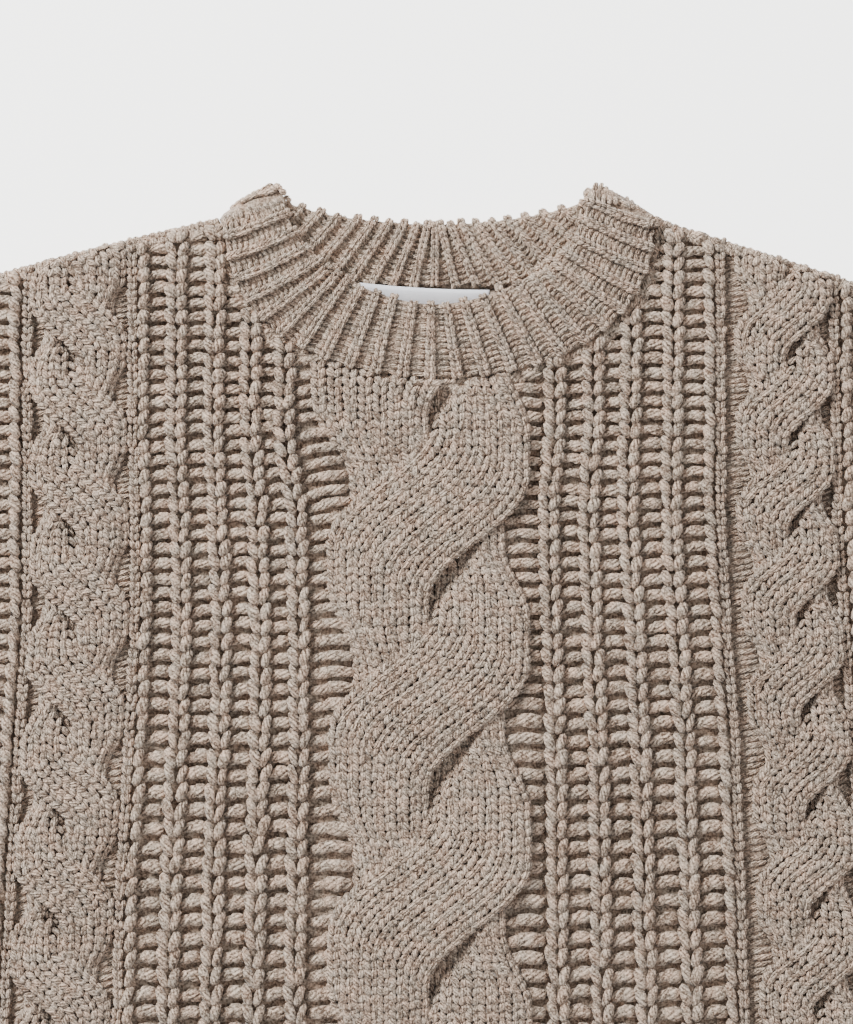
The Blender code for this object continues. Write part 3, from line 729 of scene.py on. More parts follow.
def on_front(x, drop, relief, down=None):
    """Frames on the front at chest-width places. relief is a function of (x, drop)."""
    def point(x, drop):
        wide = placed(x, drop)
        return np.stack([wide, TOP_Y - drop, front_height(wide, drop, relief(x, drop))], 1)

    right = point(x + SLOPE_STEP, drop) - point(x - SLOPE_STEP, drop)
    lower = point(x, drop + SLOPE_STEP) - point(x, drop - SLOPE_STEP)
    up = np.cross(lower, right)
    places = frames(point(x, drop), lower if down is None else down, up)
    return kept(places, within(FRONT, places.point[:, 0], places.point[:, 1]))


def well_inside(x, drop, clear):
    """True for chest-width places that lie on the front, more than clear from its edge."""
    wide, y = placed(x, drop), TOP_Y - drop
    return within(FRONT, wide, y) & (edge_distance(FRONT, wide, y)[0] > clear)


print("ground of the front lies", GROUND / MM, "mm above the floor")

# %% [markdown]
# ## Rope cables
#
# A rope cable is two strands of plain knitting that cross over each other again and again,
# always the same way. Each strand hangs straight down one side, steps over to the other side
# at its own crossing, and hangs straight down again until the other strand covers it. A wale
# further out crosses a little later, which keeps the wales evenly apart. A strand's back is
# round. It rises where it crosses, and where it goes under it dives, bends back to the middle
# and draws in, which gives the cable its scalloped edge. Formulas give all this better than a
# modelled tube would, because every stitch has to follow the same form.

# %% Sizes of the cables
# Lengths, then: lean, which is 1 or -1 for the way that the upper strand crosses, the wales of
# a strand, and back, which is how far a strand bends back to the middle where it goes under.
Cable = namedtuple("Cable", "centre half_width rise repeat first lean wales back")
CABLES = {
    "centre_cable": Cable(-3.9 * MM, 56 * MM, 6.4 * MM, 110 * MM, 183 * MM, 1, 8, 0.24),
    "left_cable": Cable(-197 * MM, 27 * MM, 5.4 * MM, 55 * MM, 78 * MM, -1, 4, 0.36),
    "right_cable": Cable(197 * MM, 27 * MM, 5.4 * MM, 54 * MM, 75 * MM, 1, 4, 0.36),
}
STRETCH_DROPS = [0 * MM, 75 * MM, 200 * MM, 330 * MM, 900 * MM]
STRETCH_SHARES = [0.82, 0.86, 0.96, 1.02, 1.02]


def crossings(cable):
    """Drops of a cable's crossings, from above the shoulder to below the hem."""
    drops = [cable.first]
    while drops[0] > -cable.repeat:
        share = np.interp(drops[0], STRETCH_DROPS, STRETCH_SHARES)
        drops.insert(0, drops[0] - cable.repeat * share)
    while drops[-1] < GARMENT_LENGTH + cable.repeat:
        share = np.interp(drops[-1], STRETCH_DROPS, STRETCH_SHARES)
        drops.append(drops[-1] + cable.repeat * share)
    return list(zip(drops, drops[1:], drops[2:]))


for name, cable in CABLES.items():
    print(name, "has", len(crossings(cable)), "crossings, some of them past its ends")

# %% Path of a strand
CROSSING_REACH = 0.62       # half a crossing's length, as a share of the half width
CROSSING_SLANT = 0.60       # how much lower a wale crosses, for its distance sideways
TUCK_SHARE = 0.30           # how far a strand's outer wales draw in where it goes under
TUCK_FROM, TUCK_OVER = 0.56, 0.40   # where that starts, on the way to the next crossing
HALVINGS = 16


def smooth_step(share):
    share = np.clip(share, 0, 1)
    return share * share * (3 - 2 * share)


def strand_turn(cable, span, offset, drop):
    """How far past its own crossing a wale is: length, and share of the way to the next."""
    before, crossing, after = span
    past = drop - crossing - cable.lean * CROSSING_SLANT * offset
    return past, past / np.where(past > 0, after - crossing, crossing - before)


def strand_x(cable, span, offset, drop):
    """Place of a wale at a drop: it steps over to the other side where its strand crosses."""
    past, turn = strand_turn(cable, span, offset, drop)
    step = np.clip(past / (cable.half_width * CROSSING_REACH), -1, 1)
    swing = np.sin(step * math.pi / 2)
    under = smooth_step((np.abs(turn) - TUCK_FROM) / TUCK_OVER)
    outer = cable.lean * offset * past < 0
    tuck = np.where(outer, TUCK_SHARE * under, 0)
    swing = swing * (1 - cable.back * under)
    return cable.centre + offset * (1 - tuck) - cable.lean * cable.half_width / 2 * swing


def strand_offset(cable, span, x, drop):
    """How far places lie from the middle of a strand, found by halving."""
    low, high = np.full(len(x), -cable.half_width), np.full(len(x), cable.half_width)
    for _ in range(HALVINGS):
        offset = (low + high) / 2
        right = strand_x(cable, span, offset, drop) < x
        low, high = np.where(right, offset, low), np.where(right, high, offset)
    return offset


wide_cable = CABLES["centre_cable"]
print("a wale of the centre cable crosses over within",
      round(2 * CROSSING_REACH * wide_cable.half_width / MM), "mm")

# %% Height of a strand
# The first four lines are shares of the cable's rise.
DOME = 0.65                 # how much higher a strand's middle is than its edges
SIDE_LEVEL, LEVEL_SWING = 0.35, 0.30        # its edges, and how much they rise and sink
TILT = 0.24                 # how much higher its leading edge is
DEEP, SOFT = 0.95, 0.20     # how low it starts and ends under the other strand
LOWEST = -2.0 * MM          # a strand never goes deeper than this
DIVE_REACH = 0.32           # over what length it dives, as a share of the half width
HIDDEN_SHARE = 0.30         # how far it goes on under the other strand, likewise
DOME_EDGE, STRAND_EDGE = 0.97, 1.02         # the dome's edge is cut off just short of its foot


def strand_shape(cable, span, x, drop):
    """Height of a strand, how near it is to going under, and how far off its middle."""
    offset = strand_offset(cable, span, x, drop)
    away = cable.lean * offset / (cable.half_width / 2)
    turn = np.abs(strand_turn(cable, span, offset, drop)[1])
    slope = CROSSING_SLANT * cable.half_width / 2
    edge = 2 * CROSSING_REACH * cable.lean * offset
    shown = drop - (span[0] + slope - edge)
    left = span[2] - slope - edge - drop
    dome = DOME * np.sqrt(np.clip(1 - (DOME_EDGE * away) ** 2, 0, 1))
    level = SIDE_LEVEL + LEVEL_SWING * np.cos(np.clip(turn, 0, 1) * math.pi)
    reach = DIVE_REACH * cable.half_width
    dive = DEEP * (1 - smooth_step(shown / reach)) + SOFT * (1 - smooth_step(left / reach))
    height = np.maximum(cable.rise * (level + dome + TILT * away - dive), LOWEST)
    hidden = HIDDEN_SHARE * cable.half_width
    there = (np.abs(away) < STRAND_EDGE) & (np.minimum(shown, left) > -hidden)
    return height, np.where(there, turn, np.inf), np.abs(away)


def cable_relief(cable, x, drop):
    """Height of a whole cable: at each place, that of the strand on top."""
    height, nearest = np.zeros(len(x)), np.full(len(x), np.inf)
    for span in crossings(cable):
        own, turn, _ = strand_shape(cable, span, x, drop)
        height = np.where(turn < nearest, own, height)
        nearest = np.minimum(nearest, turn)
    return height


for name, cable in CABLES.items():
    middle = np.array([cable.centre])
    top = cable_relief(cable, middle, np.array([cable.first]))[0]
    print(name, "stands", round(top / MM, 1), "mm up where its strands cross")

# %% [markdown]
# ### Stitches along the strands
#
# The strands are stockinette, whose stitches are V-shaped pairs of legs. Rows go evenly along
# each wale's own path, and every stitch is turned to the path's heading. A leaf that the other
# strand covers isn't laid at all, because it would only cost time.

# %% Lay the cables' stitches
STOCKINETTE = (
    Leg((-3.4, -3.1, -0.75), (-0.6, 3.5, 0.60), 4.35, 3.2, 0.60),
    Leg((3.4, -3.1, -0.75), (0.6, 3.5, 0.60), 4.35, 3.2, 0.60),
)
COVERED = 0.84              # a strand covers what lies nearer to its middle than this share
EDGE_CLEAR = 0.8 * MM
HEM_CLEAR = 3 * MM
PATH_POINTS = 400
PATH_SPARE = 0.7            # a path is longer than its strand shows, in half widths


def wale_rows(cable, span, offset):
    """Places and headings of the rows of one wale, evenly along its path."""
    spare = PATH_SPARE * cable.half_width
    drops = np.linspace(span[0] - spare, span[2] + spare, PATH_POINTS)
    path = np.stack([strand_x(cable, span, np.full(PATH_POINTS, offset), drops), drops], 1)
    lengths = way_along(path)
    wanted = np.arange(0.5, lengths[-1] / (STITCH_ROW * MM)) * STITCH_ROW * MM
    x, drop = sampled(path, lengths, wanted).T
    heading = np.stack([np.gradient(x), -np.gradient(drop), 0 * x], 1)
    return x, drop, heading


def cable_places(cable):
    """Frames of all stitches of a cable that show."""
    found = []
    spans = crossings(cable)
    for index, span in enumerate(spans):
        neighbours = [spans[i] for i in (index - 1, index + 1) if 0 <= i < len(spans)]
        for wale in range(cable.wales):
            offset = (wale - (cable.wales - 1) / 2) * cable.half_width / cable.wales
            x, drop, heading = wale_rows(cable, span, offset)
            turn = strand_shape(cable, span, x, drop)[1]
            keep = np.isfinite(turn) & (drop > 0) & (drop < BODY_BOTTOM - HEM_CLEAR)
            for other in neighbours:
                _, over, away = strand_shape(cable, other, x, drop)
                keep &= (turn < over) | (away > COVERED)
            keep &= well_inside(x, drop, EDGE_CLEAR)
            if keep.any():
                found.append(on_front(
                    x[keep], drop[keep],
                    lambda x, drop, span=span: strand_shape(cable, span, x, drop)[0],
                    heading[keep]))
    return Places(*(np.concatenate(vectors) for vectors in zip(*found)))


COVERS = {"front": []}      # the pieces that lie on each cloth and belong to it
for seed, (name, cable) in enumerate(CABLES.items(), start=11):
    scale = cable.half_width / cable.wales / (STITCH_WIDTH * MM)
    rows = lay_legs(cable_places(cable), STOCKINETTE, seed, uneven=1.0, scale=scale)
    COVERS["front"].append(join_yarn(name, [rows], WOOL))

# %% [markdown]
# ### Up to the shoulder seams
#
# The columns of the ribs end a little short of the shoulder seams, cut off at a slant. On the
# real dress the last rows before a seam are small stitches that are pulled square to it. Two
# rows of small stitches along the outline's two sloping edges do the same here and leave no
# bare cloth.

# %% Lay the last stitches before the shoulders' edges
SHOULDER_STEP = 4.4 * MM
SHOULDER_DEPTHS = (2.0 * MM, 5.0 * MM)
SHOULDER_RANGE = (86 * MM, 300 * MM)        # from the neckband to past the side seam
SHOULDER_LOWEST = 90 * MM
SHOULDER_SLOPE = 0.7        # an edge is a shoulder's if it faces +Y by at least this
SHOULDER_RISE = 0.8 * MM


def shoulder_places(depth):
    """Frames along the two shoulder edges, headed square to the edge, into the panel."""
    points, headings = [], []
    for start, end in zip(FRONT.start, FRONT.end):
        run = end - start
        length = np.linalg.norm(run)
        inward = np.array([run[1], -run[0]]) / length
        if inward[1] > 0:
            inward = -inward
        middle = (start + end) / 2
        sloping = -inward[1] > SHOULDER_SLOPE and TOP_Y - middle[1] < SHOULDER_LOWEST
        if sloping and SHOULDER_RANGE[0] < abs(middle[0]) < SHOULDER_RANGE[1]:
            count = max(1, round(length / SHOULDER_STEP))
            for along in np.arange(0.5, count):
                points.append(start + run * (along / count) + inward * depth)
                headings.append((*inward, 0))
    points = np.array(points)
    drop = TOP_Y - points[:, 1]
    return on_front(unplaced(points[:, 0], drop), drop, raised(SHOULDER_RISE),
                    np.array(headings))


shoulder_rows = [
    lay_legs(shoulder_places(depth), STOCKINETTE, seed=30 + index, uneven=0.8, scale=0.75)
    for index, depth in enumerate(SHOULDER_DEPTHS)]
COVERS["front"].append(join_yarn("shoulder_stitches", shoulder_rows, WOOL))

# %% [markdown]
# ### The wall under the cables
#
# The front wall came from the CAD's simpler ridges. Its upper face is now moved to a little
# under the stitches, so that no dark gap and no bare bump shows between them. It follows the
# lowest relief close by, because a wall that climbed at a cable's edge would poke through.

# %% Bring the wall under the cables to their form
WALL_DEPTH = 1.7 * MM
WALL_MARGIN = 2.5 * MM      # the wall keeps this far back from a step in the cable
UNDERSIDE_DEPTH = 4 * MM    # what lies further below the ground is the wall's underside


def settle_wall(piece):
    """Moves the front wall's upper face to a little under the stitches."""
    mesh = piece.data
    points = np.empty(len(mesh.vertices) * 3, np.float32)
    normals = np.empty(len(mesh.vertices) * 3, np.float32)
    mesh.vertices.foreach_get("co", points)
    mesh.vertices.foreach_get("normal", normals)
    points, normals = points.reshape(-1, 3).astype(float), normals.reshape(-1, 3)
    wide, drop = points[:, 0], TOP_Y - points[:, 1]
    x = unplaced(wide, drop)
    relief = np.full(len(x), np.inf)
    for right, lower in ((0, 0), (1, 1), (1, -1), (-1, 1), (-1, -1)):
        near = sum(cable_relief(cable, x + right * WALL_MARGIN, drop + lower * WALL_MARGIN)
                   for cable in CABLES.values())
        relief = np.minimum(relief, near)
    height = front_height(wide, drop, relief)
    clear = edge_distance(FRONT, wide, points[:, 1])[0] > EDGE_ROUNDING
    upper = (normals[:, 2] > POINTS_UP) & (points[:, 2] > GROUND - UNDERSIDE_DEPTH)
    move = upper & clear
    points[move, 2] = height[move] - WALL_DEPTH
    mesh.vertices.foreach_set("co", points.astype(np.float32).ravel())
    mesh.update()
    print("moved", move.sum(), "points of the front wall")


settle_wall(WALLS["front"])

# %% [markdown]
# ## Ladder rib
#
# Between the cables the cloth is a deep tuck rib: wide knit columns stand up, and between two
# of them an arched rung of yarn spans each row over a dark gap. One cell of that lattice is a
# few legs, and it repeats down every column. Beside the centre cable the rungs run on under
# its edge, so no bare cloth shows where the cable draws in.

# %% Sizes of the ladder
LEFT_LEG = (Leg((-5.0, -5.5, 0.2), (-1.1, 5.5, 1.9), 6.2, 4.8, 0.9),)
RIGHT_LEG = (Leg((5.0, -5.5, 0.2), (1.1, 5.5, 1.9), 6.2, 4.8, 0.9),)
LEG_REACH = 4.6             # how far a wale's legs reach from its middle, in mm
RUNG_OVERLAP = 2            # how much longer a rung is than the gap, in mm
LADDER_ROW = 8.8 * MM
LADDER_RISE = 2.2 * MM
RUNG_RISE = 0.1 * MM
# Wales of each group at chest width, from left to right, in mm. The outer two of a group
# are where its first and last rungs end.
WALE_GROUPS = ((-296, -274, -252, -230), (-163.2, -140.6, -118.6, -97, -76, -42),
               (31, 64.4, 87.2, 110.2, 134.0, 158.0), (229, 251, 273, 295))
ONLY_RIGHT_LEG = (-163.2, 229)
ONLY_LEFT_LEG = (158.0, -230)
NO_LEGS = (-296, -42, 31, 295)


def rung(length):
    """Two fat legs that arch from one wale to the next and are that many mm long."""
    end = length * 0.5
    return (
        Leg((-end - 0.6, 1.7, -1.2), (end * 0.42, -1.2, 0.3), 6.4, 4.6, 0.8),
        Leg((-end * 0.36, -1.2, 0.2), (end + 0.6, 0.4, 0.4), 7.3, 4.8, 0.9),
    )


print("ladder rib:", sum(len(group) - 1 for group in WALE_GROUPS), "columns of rungs")

# %% Places down a column
ROW_DROPS = [60 * MM, 166 * MM, 260 * MM, 363 * MM, 900 * MM]
ROW_SHARES = [0.87, 0.92, 1.0, 1.16, 1.19]  # how long the rows are there
COLUMN_START, COLUMN_END = 12 * MM, BODY_BOTTOM - 2 * MM
COLUMN_CLEAR = 1.6 * MM
ROW_JITTER, ROW_DRIFT = 0.035, 0.10         # how uneven rows are, as shares of a row
DRIFT_LENGTH = 37 * MM
COLUMN_JITTER = 0.3 * MM


def column_places(centre, row, relief, seed):
    """Frames down one column at chest width, each row a little uneven."""
    random = np.random.default_rng(seed)
    grid = np.arange(COLUMN_START, COLUMN_END, 1 * MM)
    passed = np.cumsum(1 * MM / (row * np.interp(grid, ROW_DROPS, ROW_SHARES)))
    drop = np.interp(np.arange(0.5, passed[-1]), passed, grid)
    stretch = np.interp(drop, ROW_DROPS, ROW_SHARES)
    drop = drop + random.normal(0, ROW_JITTER * row, len(drop))
    drop = drop + ROW_DRIFT * row * np.sin(drop / DRIFT_LENGTH + seed)
    x = np.full(len(drop), centre) + random.normal(0, COLUMN_JITTER, len(drop))
    keep = well_inside(x, drop, COLUMN_CLEAR)
    places = on_front(x[keep], drop[keep], relief)
    return places._replace(down=places.down * stretch[keep][:, None])


print("longest rows, at the hem:", round(LADDER_ROW * ROW_SHARES[-1] / MM, 1), "mm")

# %% Lay the ladder's wales and rungs
SIDE_CLEAR = 2.6 * MM
ladder_rows = []
for group in WALE_GROUPS:
    for index, wale in enumerate(group):
        seed = int(400 + wale)
        if wale not in NO_LEGS:
            places = column_places(wale * MM, LADDER_ROW, raised(LADDER_RISE), seed)
            if wale not in ONLY_RIGHT_LEG:
                ladder_rows.append(lay_legs(places, LEFT_LEG, seed, uneven=1.6))
            if wale not in ONLY_LEFT_LEG:
                ladder_rows.append(lay_legs(places, RIGHT_LEG, seed + 1, uneven=1.6))
        if index + 1 < len(group):
            after = group[index + 1]
            places = column_places((wale + after) / 2 * MM, LADDER_ROW, raised(RUNG_RISE), seed)
            legs = rung(after - wale - 2 * LEG_REACH + RUNG_OVERLAP)
            ladder_rows.append(lay_legs(places, legs, seed + 2, uneven=1.4))
ladder_rows = np.concatenate(ladder_rows)
# Columns 0 and 3 are the x of a leg's start and end. Both stay inside the side seams.
for end in (0, 3):
    widest = HALF_CHEST * spread(TOP_Y - ladder_rows[:, end + 1]) - SIDE_CLEAR
    ladder_rows[:, end] = np.clip(ladder_rows[:, end], -widest, widest)
COVERS["front"].append(join_yarn("ladder_rib", [ladder_rows], WOOL))

# %% [markdown]
# ## Narrow twisted ribs and the gutters beside the cables
#
# A single twisted wale runs on each side of a side cable. Between it and the cable lies a
# gutter of purl bars, low and dark. Both are columns like the ladder's, so the same function
# finds their places, and only the legs and the height differ.

# %% Lay the narrow ribs and the purl bars
TWISTED = (
    Leg((-2.2, -2.6, 0.6), (-0.6, 2.9, 1.7), 3.4, 3.4, 0.4),
    Leg((2.2, -2.6, 0.6), (0.6, 2.9, 1.7), 3.4, 3.4, 0.4),
)
TWISTED_ROW, TWISTED_RISE = 4.7 * MM, 1.0 * MM
NARROW_RIBS = (-226.2, -166.4, 161.4, 225.6)
PURL_ROW, PURL_RISE = 3.4 * MM, -1.3 * MM
# Gutters of purl bars at chest width: (from, to), in mm. They reach in under the cables.
GUTTERS = ((-224, -214), (-179, -168), (163, 179), (215, 223.5))


def purl_bar(width):
    return (Leg((-width / 2, 0.9, -0.9), (width / 2, -0.8, -0.5), 3.2, 2.6, 0.6),)


narrow_rows, gutter_rows = [], []
for index, centre in enumerate(NARROW_RIBS):
    places = column_places(centre * MM, TWISTED_ROW, raised(TWISTED_RISE), 80 + index)
    narrow_rows.append(lay_legs(places, TWISTED, seed=90 + index, uneven=1.0))
for index, (start, stop) in enumerate(GUTTERS):
    places = column_places((start + stop) / 2 * MM, PURL_ROW, raised(PURL_RISE), 100 + index)
    gutter_rows.append(lay_legs(places, purl_bar(stop - start), seed=120 + index, uneven=1.3))
COVERS["front"].append(join_yarn("narrow_ribs", narrow_rows, WOOL))
COVERS["front"].append(join_yarn("purl_gutters", gutter_rows, WOOL))

# %% [markdown]
# ## Neckband
#
# The mock neck is one band of knit-one-purl-one rib, folded double and linked round the neck.
# Lying flat, it is a tube that folds at both shoulders. The CAD's middle surface runs from the
# seam to the rim, and the same few sizes give it again here. Ribs run along it, over the
# rounded rim and down the inside, and only leaves that face up or outwards are laid.

# %% Sizes of the band
BAND_THICKNESS = 7 * MM
CAD_RIBS = 44
BAND_COLUMNS = 4 * CAD_RIBS
FOLD_SEAM = {-1: (-118.0 * MM, 24.2 * MM), 1: (122.8 * MM, 24.4 * MM)}
FOLD_RIM = {-1: (-86.1 * MM, 5.0 * MM), 1: (87.2 * MM, 3.9 * MM)}
FOLD_RADIUS_SEAM, FOLD_RADIUS_RIM = 4.25 * MM, 5.0 * MM
FRONT_SEAM = (108.9 * MM, 2.15)     # drop at the middle, and how square the curve is
FRONT_RIM = (68.9 * MM, 1.8)
BACK_SEAM = (59.4 * MM, 2.4)
BACK_RIM = (23.9 * MM, 1.7)
FRONT_SEAM_SETTLE = 3.8 * MM
BACK_RIM_LIFT = 1.0 * MM
neck_width = FOLD_SEAM[1][0] - FOLD_SEAM[-1][0]
print("from fold to fold the seam is", round(neck_width / MM, 1), "mm wide")

# %% The band's middle surface
FOLD_POINTS, HALF_POINTS = 17, 241


def fold_out(side):
    """Direction that points out of a side fold."""
    along = unit(np.array([FOLD_RIM[side]]) - np.array([FOLD_SEAM[side]]))[0]
    out = np.array([along[1], -along[0]]) * -side
    return -out if out[1] > 0 else out


def neck_curve(turn, start, end, drop, power):
    """Points of a rounded neckline from its left end to its right end."""
    side = np.cos(turn)
    bend = np.sign(side) * np.abs(side) ** (2 / power)
    x = (start[0] + end[0]) / 2 - (end[0] - start[0]) / 2 * bend
    top = start[1] + (end[1] - start[1]) * (x - start[0]) / (end[0] - start[0])
    return x, top + (drop - top) * np.abs(np.sin(turn)) ** (2 / power)


def band_line(radius, ends_at, middle, settle, front_curve, back_curve):
    """One edge of the middle surface all the way round, starting at the left fold."""
    ends = {side: np.array(ends_at[side]) - fold_out(side) * radius for side in (-1, 1)}
    stretches = []

    def add(x, drop, z):
        stretches.append(np.stack([x, TOP_Y - drop, z], 1))

    def add_fold(side, first, last):
        angle = np.linspace(first, last, FOLD_POINTS)[:-1]
        place = ends[side] + fold_out(side) * radius * np.cos(angle)[:, None]
        add(place[:, 0], place[:, 1], middle + radius * np.sin(angle))

    def add_half(first, last, curve, level):
        turn = np.linspace(first, last, HALF_POINTS)[:-1]
        x, drop = neck_curve(turn, ends[-1], ends[1], *curve)
        sink = settle * np.sin(turn) ** 2 * (level > 0)
        add(x, drop, middle + level * radius - sink)

    add_fold(-1, -math.pi / 2, math.pi / 2)
    add_half(0, math.pi, front_curve, 1)
    add_fold(1, math.pi / 2, -math.pi / 2)
    add_half(math.pi, 0, back_curve, -1)
    return np.concatenate(stretches)


def band_columns(count):
    """Seam and rim points at columns that lie evenly along the seam edge."""
    seam = band_line(FOLD_RADIUS_SEAM, FOLD_SEAM, BAND_THICKNESS / 2 + FOLD_RADIUS_SEAM,
                     FRONT_SEAM_SETTLE, FRONT_SEAM, BACK_SEAM)
    rim = band_line(FOLD_RADIUS_RIM, FOLD_RIM,
                    BAND_THICKNESS / 2 + BACK_RIM_LIFT + FOLD_RADIUS_RIM, 0, FRONT_RIM, BACK_RIM)
    seam, rim = np.vstack([seam, seam[:1]]), np.vstack([rim, rim[:1]])
    lengths = way_along(seam)
    wanted = lengths[-1] * np.arange(count) / count
    return sampled(seam, lengths, wanted), sampled(rim, lengths, wanted)


seam_line, rim_line = band_columns(BAND_COLUMNS)
seam_length = np.linalg.norm(seam_line - np.roll(seam_line, 1, 0), axis=1).sum()
print("neckband's seam is", round(float(seam_length) / MM), "mm round")

# %% [markdown]
# ### The way round the band's wall
#
# A rib starts at the outer seam, runs up to the rim, over it and back down inside. Pressed
# flat, the band turns sharply at its two side folds, and there the ribs don't stand square to
# the seam: each leans, and meets the rim a few columns away from where it left the seam. A
# short table of leads, set from the photograph, says how far.

# %% The band's surface
# The way round the wall: distance down from the rim as a share of the band's height, and the
# side of the middle surface, as a share of half its thickness.
RIM_ROWS = ((1.0, 1.05), (0.9, 1.12), (0.5, 1.25), (0.12, 1.0), (0.03, 0.62), (0.0, 0.0),
            (0.03, -0.62), (0.12, -0.95), (0.55, -1.0), (1.0, -1.0))
# Columns counted from the left fold, and how many columns further on each meets the rim.
LEAD_AT = (-5, 0, 2, 4, 7.5, 11, 16, 22.5, 28.5, 34.5, 40, 52)
LEADS = (0, 1.2, 2.4, 3.8, 4.9, 5.7, 5.5, 2.7, 0, -0.9, -1.4, 0)
RIGHT_LEAD_SHARE = 0.8
LEFT_FOLD, RIGHT_FOLD = int(seam_line[:, 0].argmin()), int(seam_line[:, 0].argmax())


def rim_lead(column):
    """How many columns further on the rib of a column meets the rim."""
    column = (column - LEAD_AT[0]) % BAND_COLUMNS + LEAD_AT[0]
    mirrored = LEFT_FOLD + RIGHT_FOLD - column
    return np.interp(column, LEAD_AT, LEADS) - RIGHT_LEAD_SHARE * np.interp(
        mirrored, LEAD_AT, LEADS)


def band_surface(column, share_round):
    """Points of the wall's surface at fractional columns and places on the way round."""
    steps = np.linspace(0, 1, len(RIM_ROWS))
    down_share = np.interp(share_round, steps, [row[0] for row in RIM_ROWS])[:, None]
    side = np.interp(share_round, steps, [row[1] for row in RIM_ROWS])[:, None]
    column = column + rim_lead(column) * (1 - down_share[:, 0])
    low = np.floor(column).astype(int)
    part = (column - low)[:, None]
    low, high = low % BAND_COLUMNS, (low + 1) % BAND_COLUMNS
    seam = seam_line[low] * (1 - part) + seam_line[high] * part
    rim = rim_line[low] * (1 - part) + rim_line[high] * part
    tangent = (seam_line + rim_line)[high] - (seam_line + rim_line)[low]
    along = rim - seam
    out = unit(np.cross(tangent, along * (1, 1, 0)))
    return rim - along * down_share + out * side * BAND_THICKNESS / 2


print("the band folds at columns", LEFT_FOLD, "and", RIGHT_FOLD, "of", BAND_COLUMNS)

# %% Places down a column of the band
BAND_ROW = 3.2 * MM
ROUND_POINTS = 200
FIRST_ROW, LAST_ROW = 0.4, 0.2      # how far the first and last rows are from the ends, in rows
SHARE_STEP, COLUMN_STEP = 0.01, 0.3
FACES_AWAY = -0.15          # a leaf isn't laid if its upward direction is lower than this
RIB_PITCH = 13.5 * MM       # the ribs' legs are drawn for ribs this far apart


def rows_round(column):
    """Even row places on the way round the wall at one column."""
    share = np.linspace(0, 1, ROUND_POINTS)
    lengths = way_along(band_surface(np.full(ROUND_POINTS, float(column)), share))
    wanted = np.arange(FIRST_ROW, lengths[-1] / BAND_ROW - LAST_ROW) * BAND_ROW
    return np.interp(wanted, lengths, share)


def band_places(place, span, narrowest, widest):
    """Frames down one column, with a width that follows the ribs' distance there."""
    share = rows_round(place)
    column = np.full(len(share), float(place))
    here = band_surface(column, share)
    before = band_surface(column, np.maximum(share - SHARE_STEP, 0))
    after = band_surface(column, np.minimum(share + SHARE_STEP, 1))
    right = (band_surface(column + COLUMN_STEP, share)
             - band_surface(column - COLUMN_STEP, share))
    climb = after - before
    places = frames(here, -climb, np.cross(right, climb))
    width = np.linalg.norm(right, axis=1) / (2 * COLUMN_STEP) * span / RIB_PITCH
    width = np.clip(width, narrowest, widest)[:, None]
    places = places._replace(across=places.across * width)
    return kept(places, places.up[:, 2] > FACES_AWAY)


print("a rib has", len(rows_round(LEFT_FOLD)), "rows on its way round the wall")

# %% [markdown]
# ### The rib's stitches
#
# Knit-one-purl-one rib is a standing wale of V-shaped stitches, then a low bar of purl that
# sinks between it and the next. Near the folds the ribs crowd, because there the tube bends
# away from the eye.

# %% Lay the rib round the band
FRONT_RIBS, BACK_RIBS = 26, 21
FOLD_CROWDING = 0.12        # how much closer the front's ribs lie at the folds, as a share
FIRST_RIB, LAST_RIB = LEFT_FOLD - 0.8, RIGHT_FOLD + 1.8   # of the front, just behind the folds
BAND_KNIT = (
    Leg((-2.1, -2.2, 0.8), (-0.8, 2.6, 1.8), 3.6, 3.6, 0.4),
    Leg((2.1, -2.2, 0.8), (0.8, 2.6, 1.8), 3.6, 3.6, 0.4),
)
BAND_PURL = (
    Leg((-5.0, 0.5, -1.1), (0.5, -0.5, -0.7), 3.1, 2.6, 0.3),
    Leg((-0.5, -0.5, -0.7), (5.0, 0.7, -1.1), 3.1, 2.6, 0.3),
)
KNIT_WIDTHS, PURL_WIDTHS = (0.75, 1.1), (0.5, 1.4)      # narrowest and widest, as shares
front_share = np.linspace(0, 1, FRONT_RIBS)
front_share -= FOLD_CROWDING * np.sin(2 * math.pi * front_share) / (2 * math.pi)
back_columns = np.linspace(LAST_RIB, FIRST_RIB + BAND_COLUMNS, BACK_RIBS + 2)[1:-1]
columns = np.append(FIRST_RIB + (LAST_RIB - FIRST_RIB) * front_share, back_columns)
next_columns = np.append(columns[1:], columns[0] + BAND_COLUMNS)
neck_rows = []
for rib, (column, after) in enumerate(zip(columns, next_columns)):
    places = band_places(column, after - column, *KNIT_WIDTHS)
    neck_rows.append(lay_legs(places, BAND_KNIT, seed=200 + rib, uneven=0.8))
    places = band_places((column + after) / 2, after - column, *PURL_WIDTHS)
    neck_rows.append(lay_legs(places, BAND_PURL, seed=300 + rib, uneven=0.8))
print("laid", len(columns), "ribs round the neckband")

# %% [markdown]
# ### The linking chain
#
# A band like this is linked to the body: a chain of stitches runs round the seam. Two rows of
# small stitches, one close to the band and one a little lower outside it, follow the front of
# the seam and hide where the ribs and the body's columns end.

# %% Link the band to the panel
LINK_STEP = 4.2 * MM
LINK_DEPTHS = ((1.2 * MM, 1.0 * MM), (4.4 * MM, -0.2 * MM))   # off the seam, and how high


def link_places(away, rise):
    """Frames along the front of the seam, a little outside the band."""
    line = seam_line[LEFT_FOLD + 1:RIGHT_FOLD, :2]
    lengths = way_along(line)
    place = sampled(line, lengths, np.arange(LINK_STEP / 2, lengths[-1], LINK_STEP))
    along = unit(np.gradient(place, axis=0))
    place = place + np.stack([along[:, 1], -along[:, 0]], 1) * away
    drop = TOP_Y - place[:, 1]
    return on_front(unplaced(place[:, 0], drop), drop, raised(rise),
                    np.concatenate([along, 0 * along[:, :1]], 1))


